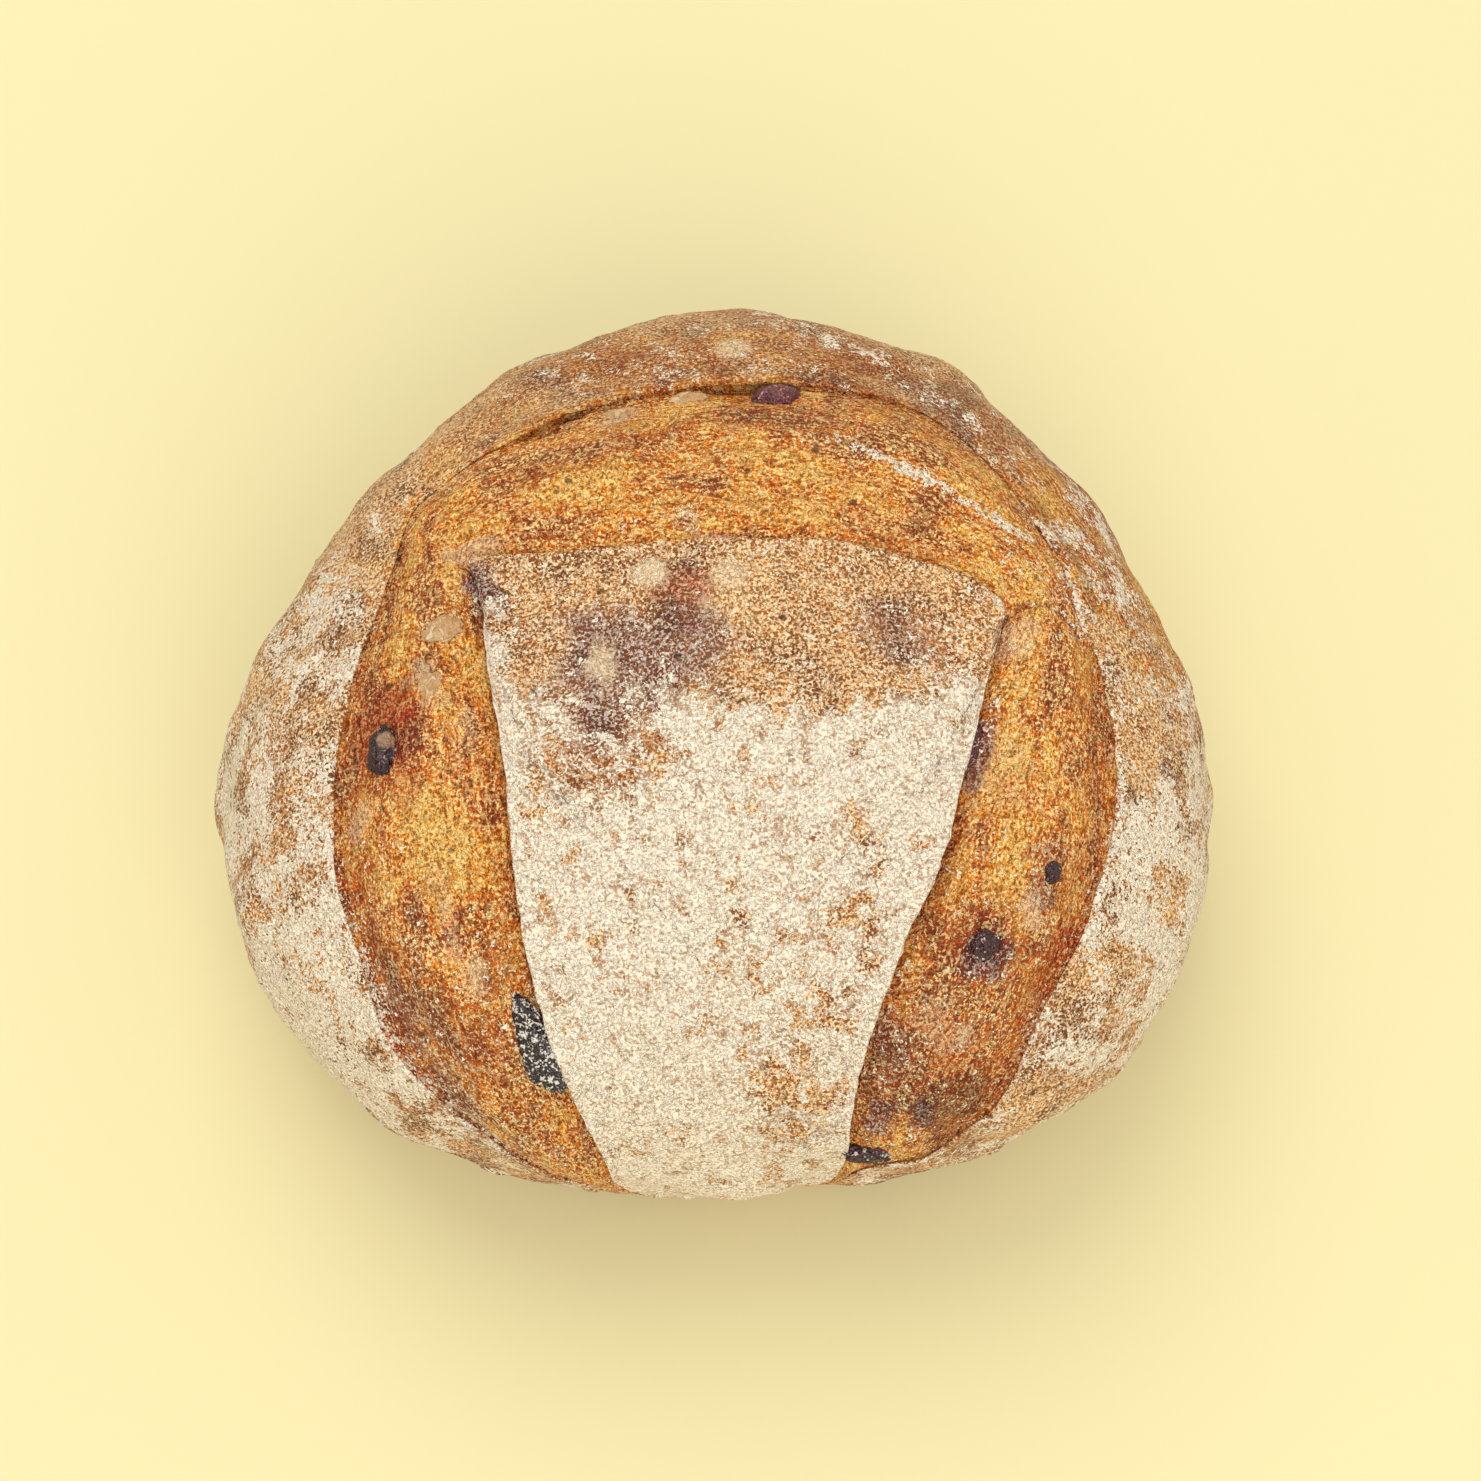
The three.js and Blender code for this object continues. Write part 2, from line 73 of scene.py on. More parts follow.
# Stations round the cut, counterclockwise from the front middle: flap edge angle and
# reach, outer edge angle and reach, then in mm the groove beside the flap, the flap's
# raised edge, the bulge of the opened dough, the step down from the crust and the
# crust's raised edge. A reach is 0 at the crown, 1 at the widest line and 2 at the base.
STATIONS = np.array([
    [272.0, 1.32, 272.0, 1.37, 0.0, 0.0, 0.0, 0.0, 0.0],
    [283.0, 1.24, 284.0, 1.29, 0.0, 0.0, 0.0, 0.0, 0.0],
    [286.2, 0.948, 289.3, 0.998, 0.9, 0.4, 0.3, 0.4, 0.2],
    [287.6, 0.777, 296.6, 0.958, 2.0, 0.7, 0.9, 0.6, 0.4],
    [291.3, 0.614, 305.3, 0.816, 2.6, 0.8, 1.5, 0.8, 0.5],
    [299.6, 0.466, 313.7, 0.665, 3.0, 1.0, 2.0, 1.0, 0.6],
    [314.7, 0.357, 328.0, 0.577, 3.2, 1.1, 2.0, 1.2, 0.7],
    [333.9, 0.298, 345.2, 0.54, 3.2, 1.0, 1.8, 1.3, 0.8],
    [354.0, 0.302, 361.6, 0.515, 2.8, 0.9, 1.6, 1.0, 0.5],
    [367.0, 0.342, 370.0, 0.497, 1.8, 0.6, 1.4, 0.6, 0.3],
    [373.5, 0.372, 380.0, 0.517, 0.8, 0.5, 1.2, 0.2, 0.1],
    [382.0, 0.325, 393.0, 0.53, 0.5, 0.5, 1.6, 0.2, 0.1],
    [400.0, 0.218, 411.0, 0.515, 0.5, 0.6, 2.2, 0.3, 0.3],
    [430.5, 0.138, 429.0, 0.445, 0.5, 0.7, 2.8, 0.6, 0.6],
    [467.0, 0.135, 450.0, 0.408, 0.5, 0.7, 3.0, 0.9, 1.1],
    [495.0, 0.193, 471.0, 0.43, 0.5, 0.7, 2.8, 0.6, 0.7],
    [508.0, 0.265, 490.0, 0.458, 0.7, 0.7, 2.2, 0.3, 0.3],
    [514.5, 0.345, 506.0, 0.545, 1.5, 1.0, 1.4, 0.1, 0.1],
    [520.0, 0.31, 517.0, 0.49, 2.8, 1.2, 1.2, 0.4, 0.2],
    [537.0, 0.253, 533.0, 0.46, 3.8, 1.4, 1.4, 0.8, 0.4],
    [567.0, 0.244, 557.0, 0.5, 4.0, 1.5, 1.8, 0.9, 0.4],
    [590.4, 0.363, 574.8, 0.592, 3.8, 1.4, 2.0, 0.9, 0.4],
    [602.9, 0.516, 589.2, 0.745, 3.2, 1.2, 2.0, 0.8, 0.4],
    [611.4, 0.693, 603.6, 0.913, 2.6, 1.0, 1.5, 0.7, 0.4],
    [616.4, 0.867, 611.6, 1.04, 1.8, 0.7, 0.9, 0.5, 0.3],
    [618.8, 1.06, 618.3, 1.13, 0.7, 0.3, 0.3, 0.3, 0.1],
    [622.0, 1.26, 622.0, 1.31, 0.0, 0.0, 0.0, 0.0, 0.0],
])
FLAP_MIDDLE = (270, 0.45)

# Where the crust stands off the dough as an ear: middle and half width in degrees, then
# in mm how far the crust hangs over and how deep the gap under it is
EAR_GAPS = [
    (84, 9, 2.2, 2.4),
    (121, 7, 1.2, 1.6),
]
EAR_REACH = 0.8

# How soon the opened dough rises beside the flap, and how late it sinks to the crust
BULGE_POWERS = (0.7, 1.8)

# Lumps that fruit and nuts push up under the skin: angle, reach, radius and height in mm
LUMPS = [
    (355, 1.02, 5, 2.2),
    (120, 0.9, 6, 1.8),
    (98, 0.84, 7, 1.0),
    (274, 1.1, 8, 1.6),
    (198, 1.0, 9, -1.8),
    (184, 0.98, 7, 1.6),
    (35, 0.88, 6, 1.4),
    (60, 0.86, 8, 1.6),
    (320, 1.08, 8, 1.5),
    (230, 1.1, 7, 1.4),
]
SCATTERED_LUMPS = 46
SCATTERED_LUMP_REACH = (0.45, 1.4)
SCATTERED_LUMP_RADIUS = (4.5, 8.5)
SCATTERED_LUMP_HEIGHT = (0.35, 1.0)
LUMP_CUTOFF = 2.5
WAVINESS = 0.7

FLAP, DOUGH, CRUST, BASE = range(4)


# Small sums

def mix(start, end, share):
    return start + (end - start) * share


def smooth(start, end, value):
    share = np.clip((value - start) / (end - start), 0, 1)
    return share * share * (3 - 2 * share)


def scatter(index, salt):
    """The same draw between 0 and 1 each time, for one index and one salt."""
    value = math.sin(index * 12.9898 + salt * 78.233) * 43758.5453
    return value - math.floor(value)


def through_loop(values, place):
    """A smooth closed line through evenly numbered values."""
    count = len(values)
    whole = np.floor(place).astype(int)
    t = place - whole
    if values.ndim > 1:
        t = t[..., None]
    a, b, c, d = (values[(whole + step) % count] for step in (-1, 0, 1, 2))
    return b + 0.5 * t * (c - a + t * (2 * a - 5 * b + 4 * c - d + t * (3 * (b - c) + d - a)))


def spread(angle, reach):
    turn = np.radians(angle)
    return np.stack([reach * np.cos(turn), reach * np.sin(turn)], -1)


# The plain form before the cut

PLAN_STEP = 360 / len(PLAN_RADII)
NORMAL_STEP = 0.004


def form_point(place):
    """Points in mm for flat places on the spread-out skin."""
    reach = np.hypot(place[..., 0], place[..., 1])
    angle = np.arctan2(place[..., 1], place[..., 0])
    radius = through_loop(PLAN_RADII, angle / math.radians(PLAN_STEP))
    over = np.minimum(reach, 1) * math.pi / 2
    under = np.clip(reach - 1, 0, 1) * math.pi / 2
    inward = np.clip(np.cos(under), 0, 1) ** (2 / BELLY_ROUNDNESS)
    out = radius * np.where(
        reach <= 1,
        np.sin(over) ** (2 / DOME_ROUNDNESS),
        BASE_SHARE + (1 - BASE_SHARE) * inward,
    )
    rise = (HEIGHT - WIDEST_HEIGHT) * np.clip(np.cos(over), 0, 1) ** (2 / DOME_ROUNDNESS)
    drop = WIDEST_HEIGHT * np.sin(under) ** (2 / BELLY_ROUNDNESS)
    return np.stack([
        CROWN_PLACE[0] + out * np.cos(angle),
        CROWN_PLACE[1] + out * np.sin(angle),
        WIDEST_HEIGHT + np.where(reach <= 1, rise, -drop),
    ], -1)


def form_normal(place):
    """The skin's outward direction before the cut, from two short steps along it."""
    across = np.array([NORMAL_STEP, 0])
    along = np.array([0, NORMAL_STEP])
    normal = np.cross(
        form_point(place + across) - form_point(place - across),
        form_point(place + along) - form_point(place - along),
    )
    return normal / np.linalg.norm(normal, axis=-1, keepdims=True)


def make_lumps():
    rows = list(LUMPS)
    for index in range(SCATTERED_LUMPS):
        rows.append((
            360 * scatter(index, 1),
            mix(*SCATTERED_LUMP_REACH, scatter(index, 2)),
            mix(*SCATTERED_LUMP_RADIUS, scatter(index, 3)),
            mix(*SCATTERED_LUMP_HEIGHT, scatter(index, 4)),
        ))
    return [(form_point(spread(a, r)), radius, height) for a, r, radius, height in rows]


LUMP_SHAPES = make_lumps()


def relief(point):
    """The slow waves and the lumps of the skin, in mm."""
    x, y, z = point[:, 0], point[:, 1], point[:, 2]
    height = WAVINESS * (
        np.sin(x * 0.11 + 1.3) * np.sin(y * 0.13 + 0.4) * np.sin(z * 0.1)
        + 0.6 * np.sin(x * 0.23 + z * 0.19) * np.sin(y * 0.27 + 2.1)
    )
    for centre, radius, lump in LUMP_SHAPES:
        distance = np.linalg.norm(point - centre, axis=1) / radius
        height += lump * np.exp(-distance ** 2) * (distance < LUMP_CUTOFF)
    return height


# The cut

def ear_gap(outer):
    angle = np.degrees(np.arctan2(outer[:, 1], outer[:, 0]))
    ear = np.zeros(len(outer))
    gap = np.zeros(len(outer))
    for middle, half_width, overhang, depth in EAR_GAPS:
        opening = np.sqrt(np.clip(1 - ((angle - middle) / half_width) ** 2, 0, 1))
        ear += overhang * opening
        gap += depth * opening
    return ear, gap


FLAP_EDGE = spread(STATIONS[:, 0], STATIONS[:, 1])
OUTER_EDGE = spread(STATIONS[:, 2], STATIONS[:, 3])


class Cut:
    """The cut's edges and heights at station numbers, which may lie between two."""

    def __init__(self, number):
        self.number = number
        self.flap = through_loop(FLAP_EDGE, number)
        self.outer = through_loop(OUTER_EDGE, number)
        depths = np.maximum(0, through_loop(STATIONS[:, 4:], number))
        self.groove, self.flap_lip, self.bulge, self.step, self.crust_lip = depths.T
        self.ear, self.gap = ear_gap(self.outer)
        reach = np.linalg.norm(self.outer, axis=1, keepdims=True)
        self.base_edge = self.outer * 2 / reach

    def dough_height(self, share):
        floor = mix(self.groove, self.step, share)
        return (
            -mix(self.groove, self.step, smooth(0, 1, share))
            + (self.bulge + floor) * np.sin(math.pi * share) ** mix(*BULGE_POWERS, share)
            - self.gap * smooth(EAR_REACH, 1, share)
        )


def between(start, end, share, distance=0):
    """Flat places a share of the way between two, moved on by a distance in mm."""
    length = np.linalg.norm(end - start, axis=1)
    total = share + distance * REACH_PER_MM / length
    return start + (end - start) * total[:, None]


def trace_cut(steps=1300):
    """Station numbers and the length run along the middle of the cut, as reach."""
    numbers = np.linspace(0, len(STATIONS), steps + 1)
    cut = Cut(numbers)
    middle = (cut.flap + cut.outer) / 2
    runs = np.linalg.norm(np.diff(middle, axis=0), axis=1)
    return numbers, np.concatenate([[0], np.cumsum(runs)])


TRACE_NUMBERS, TRACE_LENGTHS = trace_cut()


def cut_round(count):
    """The cut at evenly spaced places round the loaf."""
    wanted = np.arange(count) / count * TRACE_LENGTHS[-1]
    return Cut(np.interp(wanted, TRACE_LENGTHS, TRACE_NUMBERS))


# Fine relief, in mm

def noise_at(points, scale, seed, octaves=3):
    """Layered smooth noise, from about -1 to 1, with waves of about scale mm."""
    total = np.zeros(len(points))
    for octave in range(octaves):
        size = scale / 2 ** octave
        shift = seed * 17.3 + octave * 5.1
        shifted = (points / size + shift).tolist()
        total += np.array([noise.noise(one) for one in shifted]) / 1.8 ** octave
    return total


# Patches are painted from above and stop this far over the table, in mm
PATCHES_ABOVE = 12


def patch(point, x, y, length, width, turn=0.0, soft=0.5, rough=0.0, seed=0):
    """1 inside an oval seen from above, x and y in mm from the crown, fading to 0."""
    away = point[:, :2] - CROWN_PLACE - (x, y)
    c, s = math.cos(math.radians(turn)), math.sin(math.radians(turn))
    along = (away[:, 0] * c + away[:, 1] * s) / (length / 2)
    across = (away[:, 1] * c - away[:, 0] * s) / (width / 2)
    distance = np.hypot(along, across)
    near = distance < 2.2
    if rough and near.any():
        distance[near] += rough * noise_at(point[near], min(length, width) / 2, seed)
    above = point[:, 2] > PATCHES_ABOVE
    return (1 - smooth(1 - soft, 1 + soft, distance)) * above


# Round blisters on the skin: x, y, radius, height in mm and how pale the skin is there
BLISTERS = [
    (-10.7, 14.5, 3.2, 0.9, 1.0),
    (2.5, 14.0, 3.6, 0.5, 0.75),
    (3.0, 62.0, 3.4, 0.9, 0.8),
    (-2.0, 8.5, 1.8, 0.3, 0.5),
    (29.5, 13.0, 2.2, 0.4, 0.3),
    (26.0, 2.5, 2.0, 0.4, 0.0),
    (19.0, -5.5, 2.4, 0.5, 0.4),
]

# Thin creases with painted shade along them: their width, depth and the darkness of their painted shade,
# and the places in mm they run through
CREASES = [
    (1.0, 0.5, 0.9, [
        (46.8, 1.5), (46.2, 6.0), (47.8, 9.3), (50.5, 11.6), (54.0, 12.4), (57.7, 11.7),
        (60.8, 8.0)]),
    (0.7, 0.4, 0.7, [(-45.8, -35.5), (-44.8, -38.5), (-43.2, -41.0)]),
    (0.8, 0.5, 0.7, [(-55.5, 7.4), (-53.0, 7.2), (-50.4, 5.4), (-47.6, 5.2)]),
    (0.8, 0.5, 0.6, [(-57.0, 1.4), (-54.6, 0.6), (-51.5, 1.6), (-48.4, 0.4), (-46.6, -2.4)]),
    (0.7, 0.4, 0.5, [(-42.2, 7.6), (-41.6, 2.0), (-42.6, -4.0)]),
    (0.8, 0.4, 0.6, [(-38.0, -43.5), (-36.6, -47.5), (-36.0, -52.5)]),
    (0.8, 0.3, 0.5, [(-28.0, 25.0), (-14.0, 27.6), (0.0, 27.0), (12.0, 28.4)]),
    (0.7, 0.3, 0.4, [(-34.0, 31.0), (-24.0, 36.0), (-12.0, 37.6)]),
    (0.7, 0.3, 0.4, [(8.0, 38.0), (20.0, 36.4), (30.0, 31.0), (38.0, 24.0)]),
]

# Sunken marks on the skin: x, y, length, width, turn, depth in mm
PITS = [
    (22.9, -27.3, 5.5, 5.0, 10, 0.5),
    (9.3, -19.9, 3.2, 2.6, 0, 0.4),
    (13.1, -37.0, 4.0, 3.6, 0, 0.3),
    (19.5, -43.0, 8.5, 7.5, 20, 0.7),
    (6.3, -51.1, 5.5, 2.0, 100, 0.8),
    (-23.4, -52.5, 8.0, 1.2, -60, 0.5),
    (14.5, -70.5, 10.0, 1.2, -10, 0.7),
    (-53.0, -3.0, 5.5, 5.0, 0, 1.0),
    (-54.5, 6.5, 2.0, 1.6, 0, 1.0),
    (-57.0, 2.5, 1.8, 1.4, 0, 1.0),
    (-46.0, 2.5, 2.4, 1.4, 40, 0.9),
    (-28.0, 44.0, 3.4, 2.0, 25, 1.5),
    (-8.5, 42.5, 3.2, 2.6, 40, 1.0),
    (2.5, 42.8, 2.4, 2.2, 0, 0.9),
    (55.5, -36.5, 2.0, 4.0, 20, 1.0),
]


def near_crease(point, width, path):
    """1 along the middle of a crease and 0 from its width away."""
    flat = point[:, :2] - CROWN_PLACE
    flat = flat + 0.5 * np.stack([noise_at(point, 4.0, seed, 2) for seed in (71, 72)], -1)
    nearest = np.full(len(point), np.inf)
    for start, end in zip(path, path[1:]):
        step = np.subtract(end, start)
        share = np.clip((flat - start) @ step / (step @ step), 0, 1)
        away = np.linalg.norm(flat - start - share[:, None] * step, axis=1)
        nearest = np.minimum(nearest, away)
    return smooth(width, 0, nearest) * (point[:, 2] > WIDEST_HEIGHT)


# Small blisters strewn over the whole skin
BLISTER_COUNT = 150
BLISTER_REACH = (0.05, 1.25)
BLISTER_RADIUS = (1.1, 2.6)
BLISTER_HEIGHT = (0.15, 0.5)
BLISTER_CUTOFF = 1.3


def reach_at(x, y):
    """The angle in degrees and the reach of a place in mm from the crown."""
    angle = math.degrees(math.atan2(y, x))
    edge = float(through_loop(PLAN_RADII, np.array(angle / PLAN_STEP % len(PLAN_RADII))))
    share = math.hypot(x, y) / edge
    return angle, 2 / math.pi * math.asin(share ** (DOME_ROUNDNESS / 2))


def all_blisters():
    rows = []
    for index in range(BLISTER_COUNT):
        reach = mix(*BLISTER_REACH, scatter(index, 12) ** 0.6)
        centre = form_point(spread(360 * scatter(index, 11), reach))
        radius = mix(*BLISTER_RADIUS, scatter(index, 13))
        rows.append((centre, radius, mix(*BLISTER_HEIGHT, scatter(index, 14))))
    for x, y, radius, rise, _ in BLISTERS:
        rows.append((form_point(spread(*reach_at(x, y))), radius, rise))
    return rows


def blister_relief(point):
    height = np.zeros(len(point))
    for centre, radius, rise in all_blisters():
        distance = np.linalg.norm(point - centre, axis=1) / radius
        near = distance < BLISTER_CUTOFF
        height[near] += rise * (1 - smooth(0.45, 1.2, distance[near]))
    return height


# How much of the wrinkles and the blisters the opened dough shows
DOUGH_WRINKLE_SHARE = 0.35
DOUGH_BLISTER_SHARE = 0.3


def fine_relief(point, zone, along, across, edge):
    """Wrinkles, blisters, pits and the streaks of the torn dough, in mm."""
    sizes = bpy.context.scene.loaf_sizes
    wrinkle_height = sizes.wrinkle_height / MM
    skin = zone != DOUGH
    height = DOUGH_WRINKLE_SHARE * wrinkle_height * noise_at(point, 9.0, 1, 2)
    height += np.where(skin, wrinkle_height * noise_at(point, 3.4, 2, 2), 0)
    folds = np.stack([along / 13, across / 2.4, np.zeros(len(point))], -1)
    streak = noise_at(folds, 1.0, 3, 3)
    ridge = 1 - np.abs(noise_at(folds * (0.6, 0.55, 1), 1.0, 4, 2)) * 2
    height += np.where(skin, 0, sizes.streak_height / MM * (streak + 0.5 * ridge) * edge)
    height += blister_relief(point) * np.where(skin, 1, DOUGH_BLISTER_SHARE)
    for index, (x, y, length, width, turn, depth) in enumerate(PITS):
        height -= depth * patch(point, x, y, length, width, turn, 0.45, 0.35, 30 + index)
    for width, depth, _, path in CREASES:
        height -= depth * near_crease(point, width, path)
    return height


# The loaf's rings

# How far the torn edges wander, in mm, and the length of their waves
EDGE_RAGGEDNESS = 0.32
EDGE_WAVE = 4.0

# How many rings each part has, and how many points a ring has where
FLAP_RINGS = 52
DOUGH_RINGS = 30
CRUST_RINGS = 78
SMALLEST_RING = 14
RING_AT_FLAP_EDGE = 430
RING_AT_CRUST = 600
RING_AT_BASE = 150

# In mm, how far short of its edge the flap's plain rings end, where the crust's plain
# rings start, and how far they run
FLAP_END = -3.9
CRUST_START = 4.0
CRUST_LENGTH = 90

# Shares of the last ring's width at which rings lie on the flat underside
UNDERSIDE_SHARES = (0.97, 0.9, 0.75, 0.5, 0.25)
UNDERSIDE_REACH = 2.2

# Rows along the flap's edge: distance from it in mm, and share of the raised lip
LIP_ROWS = [(-3.4, 0.12), (-2.5, 0.3), (-1.7, 0.55), (-1.0, 0.82), (-0.45, 1.0), (0.0, 1.0)]

# Rows down the wall under the flap's edge: distance in mm, and share of the drop
WALL_ROWS = [(0.22, 0.12), (0.3, 0.45), (0.32, 0.78)]
WALL_FOOT = 0.35

# Rows round the ear: share of its overhang, distance in mm, share of the drop to the
# dough, and share of the crust's raised lip
EAR_ROWS = [
    (1.0, 0.35, -0.82, 0.0),
    (1.0, 0.5, -0.6, 0.0),
    (0.7, 0.3, -0.42, 0.0),
    (0.35, 0.15, -0.28, 0.0),
    (0.06, 0.0, -0.12, 0.05),
    (0.0, -0.15, 0.0, 0.35),
    (0.0, 0.2, 0.0, 0.8),
    (0.0, 0.9, 0.0, 1.0),
    (0.0, 1.7, 0.0, 0.85),
    (0.0, 2.6, 0.0, 0.6),
    (0.0, 3.4, 0.0, 0.45),
]
CRUST_LIP_START = 0.3

# What is known at each point: its value at the flap's middle and under the base
FACTS = {
    "zone": (FLAP, BASE),
    "along": (0, 0),
    "across": (-40, 190),
    "edge": (1, 0),
    "rim": (0, 0),
    "share": (0, 0),
    "beyond": (0, 99),
}


class RingStack:
    """Rings of points from the middle of the flap down to the flat underside."""

    def __init__(self, middle):
        self.counts = []
        self.places = [middle[None]]
        self.heights = [[0]]
        self.facts = {name: [[first]] for name, (first, _) in FACTS.items()}

    def add(self, cut, place, height, zone, across, edge=1.0, rim=0.0, share=0.0, beyond=0.0):
        count = len(cut.number)
        along = np.arange(count) / count * TRACE_LENGTHS[-1] / REACH_PER_MM
        self.counts.append(count)
        self.places.append(place)
        self.heights.append(np.broadcast_to(height, count))
        for name, value in zip(FACTS, (zone, along, across, edge, rim, share, beyond)):
            self.facts[name].append(np.broadcast_to(value, count))

    def add_base(self, count):
        """Facts for the points of the flat underside."""
        for name, (_, last) in FACTS.items():
            self.facts[name].append(np.full(count, last))

    def joined_facts(self):
        return {name: np.concatenate(rows) for name, rows in self.facts.items()}


def add_flap(stack, middle):
    for index in range(1, FLAP_RINGS + 1):
        share = index / (FLAP_RINGS + 0.5)
        count = max(SMALLEST_RING, round(RING_AT_FLAP_EDGE * min(1, share * 1.12)))
        cut = cut_round(count)
        start = np.broadcast_to(middle, cut.flap.shape)
        place = between(start, cut.flap, share, FLAP_END * share)
        stack.add(cut, place, 0.0, FLAP, FACTS["across"][0] * (1 - share))
    cut = cut_round(RING_AT_FLAP_EDGE)
    start = np.broadcast_to(middle, cut.flap.shape)
    for distance, lip in LIP_ROWS:
        place = between(start, cut.flap, 1, distance)
        rim = 1 - smooth(-1.0, -2.5, distance)
        stack.add(cut, place, cut.flap_lip * lip, FLAP, distance, 1.0, rim)
    cut = cut_round(RING_AT_CRUST)
    for distance, drop in WALL_ROWS:
        place = between(cut.flap, cut.outer, 0, distance)
        height = mix(cut.flap_lip, -cut.groove, drop)
        stack.add(cut, place, height, DOUGH, distance, 0.0)


def add_dough(stack):
    cut = cut_round(RING_AT_CRUST)
    width = np.linalg.norm(cut.outer - cut.flap, axis=1) / REACH_PER_MM
    for index in range(DOUGH_RINGS + 1):
        even = index / DOUGH_RINGS
        share = mix(even, 0.5 - 0.5 * math.cos(math.pi * even), 0.5)
        distance = WALL_FOOT * (1 - share) + cut.ear * smooth(EAR_REACH, 1, share)
        place = between(cut.flap, cut.outer, share, distance)
        edge = smooth(0, 0.12, share) * (1 - smooth(0.88, 1, share)) * smooth(2, 8, width)
        height = cut.dough_height(share)
        inside = (share - 1) * width
        stack.add(cut, place, height, DOUGH, share * width, edge, 0.0, share, inside)
    for ear, distance, drop, lip in EAR_ROWS:
        place = between(cut.outer, cut.base_edge, 0, cut.ear * ear + distance)
        height = (cut.step + cut.gap) * drop + cut.crust_lip * lip
        zone = DOUGH if lip < CRUST_LIP_START else CRUST
        rim = (zone == CRUST) * (1 - 0.8 * smooth(1.0, 3.4, distance))
        stack.add(cut, place, height, zone, width + distance, 0.0, rim, 1.0, distance)


def add_crust(stack):
    for index in range(1, CRUST_RINGS + 1):
        share = index / CRUST_RINGS
        count = round(mix(RING_AT_CRUST, RING_AT_BASE, smooth(0.6, 1, share)))
        cut = cut_round(count)
        start = between(cut.outer, cut.base_edge, 0, CRUST_START)
        place = between(start, cut.base_edge, share)
        across = mix(40, FACTS["across"][1], share)
        lip = cut.crust_lip * 0.35 * (1 - smooth(0, 0.07, share))
        stack.add(cut, place, lip, CRUST, across, beyond=CRUST_START + share * CRUST_LENGTH)


def join_rings(inner, outer, inner_start, outer_start, triangles):
    """Triangles between two rings that start together and may differ in their counts."""
    i = 0
    j = 0
    while i < inner or j < outer:
        a = inner_start + i % inner
        b = outer_start + j % outer
        if j < outer and (i >= inner or (j + 1) * inner <= (i + 1) * outer):
            triangles.append((a, b, outer_start + (j + 1) % outer))
            j += 1
        else:
            triangles.append((a, b, inner_start + (i + 1) % inner))
            i += 1


def raised_points(stack):
    """Points in mm with all relief, and each one's reach."""
    facts = stack.joined_facts()
    place = np.concatenate(stack.places)
    height = np.concatenate(stack.heights)
    reach = np.hypot(place[:, 0], place[:, 1])
    form = form_point(place)
    torn = np.stack([noise_at(form, EDGE_WAVE, seed, 2) for seed in (51, 52)], -1)
    torn *= (EDGE_RAGGEDNESS * REACH_PER_MM * smooth(1.6, 1.2, reach))[:, None]
    place = place + torn
    form = form_point(place)
    fine = fine_relief(form, facts["zone"], facts["along"], facts["across"], facts["edge"])
    raised = (height + relief(form) + fine) * (1 - smooth(*BASE_FADE, reach))
    points = form + form_normal(place) * raised[:, None]
    points[:, 2] = np.maximum(points[:, 2], 0)
    return points, reach


def underside_rings(last_ring, counts):
    """Flat rings from the last ring to the middle of the underside."""
    count = len(last_ring)
    middle = np.array([[*CROWN_PLACE, 0]])
    rings = []
    for share in UNDERSIDE_SHARES:
        kept = max(SMALLEST_RING, round(count * share))
        picked = np.round(np.arange(kept) * count / kept).astype(int) % count
        rings.append(middle + (last_ring[picked] - middle) * share)
        counts.append(kept)
    return [*rings, middle]


def loaf_mesh_data():
    middle = spread(*FLAP_MIDDLE)
    stack = RingStack(middle)
    add_flap(stack, middle)
    add_dough(stack)
    add_crust(stack)
    points, reach = raised_points(stack)
    skin_count = len(points)
    counts = stack.counts
    points[-counts[-1]:, 2] = 0
    points = np.concatenate([points, *underside_rings(points[-counts[-1]:], counts)])

    triangles = [(0, 1 + i, 1 + (i + 1) % counts[0]) for i in range(counts[0])]
    start = 1
    for inner, outer in zip(counts, counts[1:]):
        join_rings(inner, outer, start, start + inner, triangles)
        start += inner
    end = counts[-1]
    triangles += [(start + i, len(points) - 1, start + (i + 1) % end) for i in range(end)]

    extra = len(points) - skin_count
    stack.add_base(extra)
    facts = stack.joined_facts()
    facts["reach"] = np.concatenate([reach, np.full(extra, UNDERSIDE_REACH)])
    return points, triangles, facts


# Where the crust is floured, browned or stained

def flap_flour(point):
    """Heavy flour on the lower two thirds of the flap, with a ragged upper limit."""
    x, y = (point[:, :2] - CROWN_PLACE).T
    ragged = 5 * noise_at(point, 11.0, 7, 3)
    limit = -8 + 6 * smooth(15, 45, x) + 14 * smooth(-30, -37, x) + ragged
    return smooth(7, -7, y - limit)


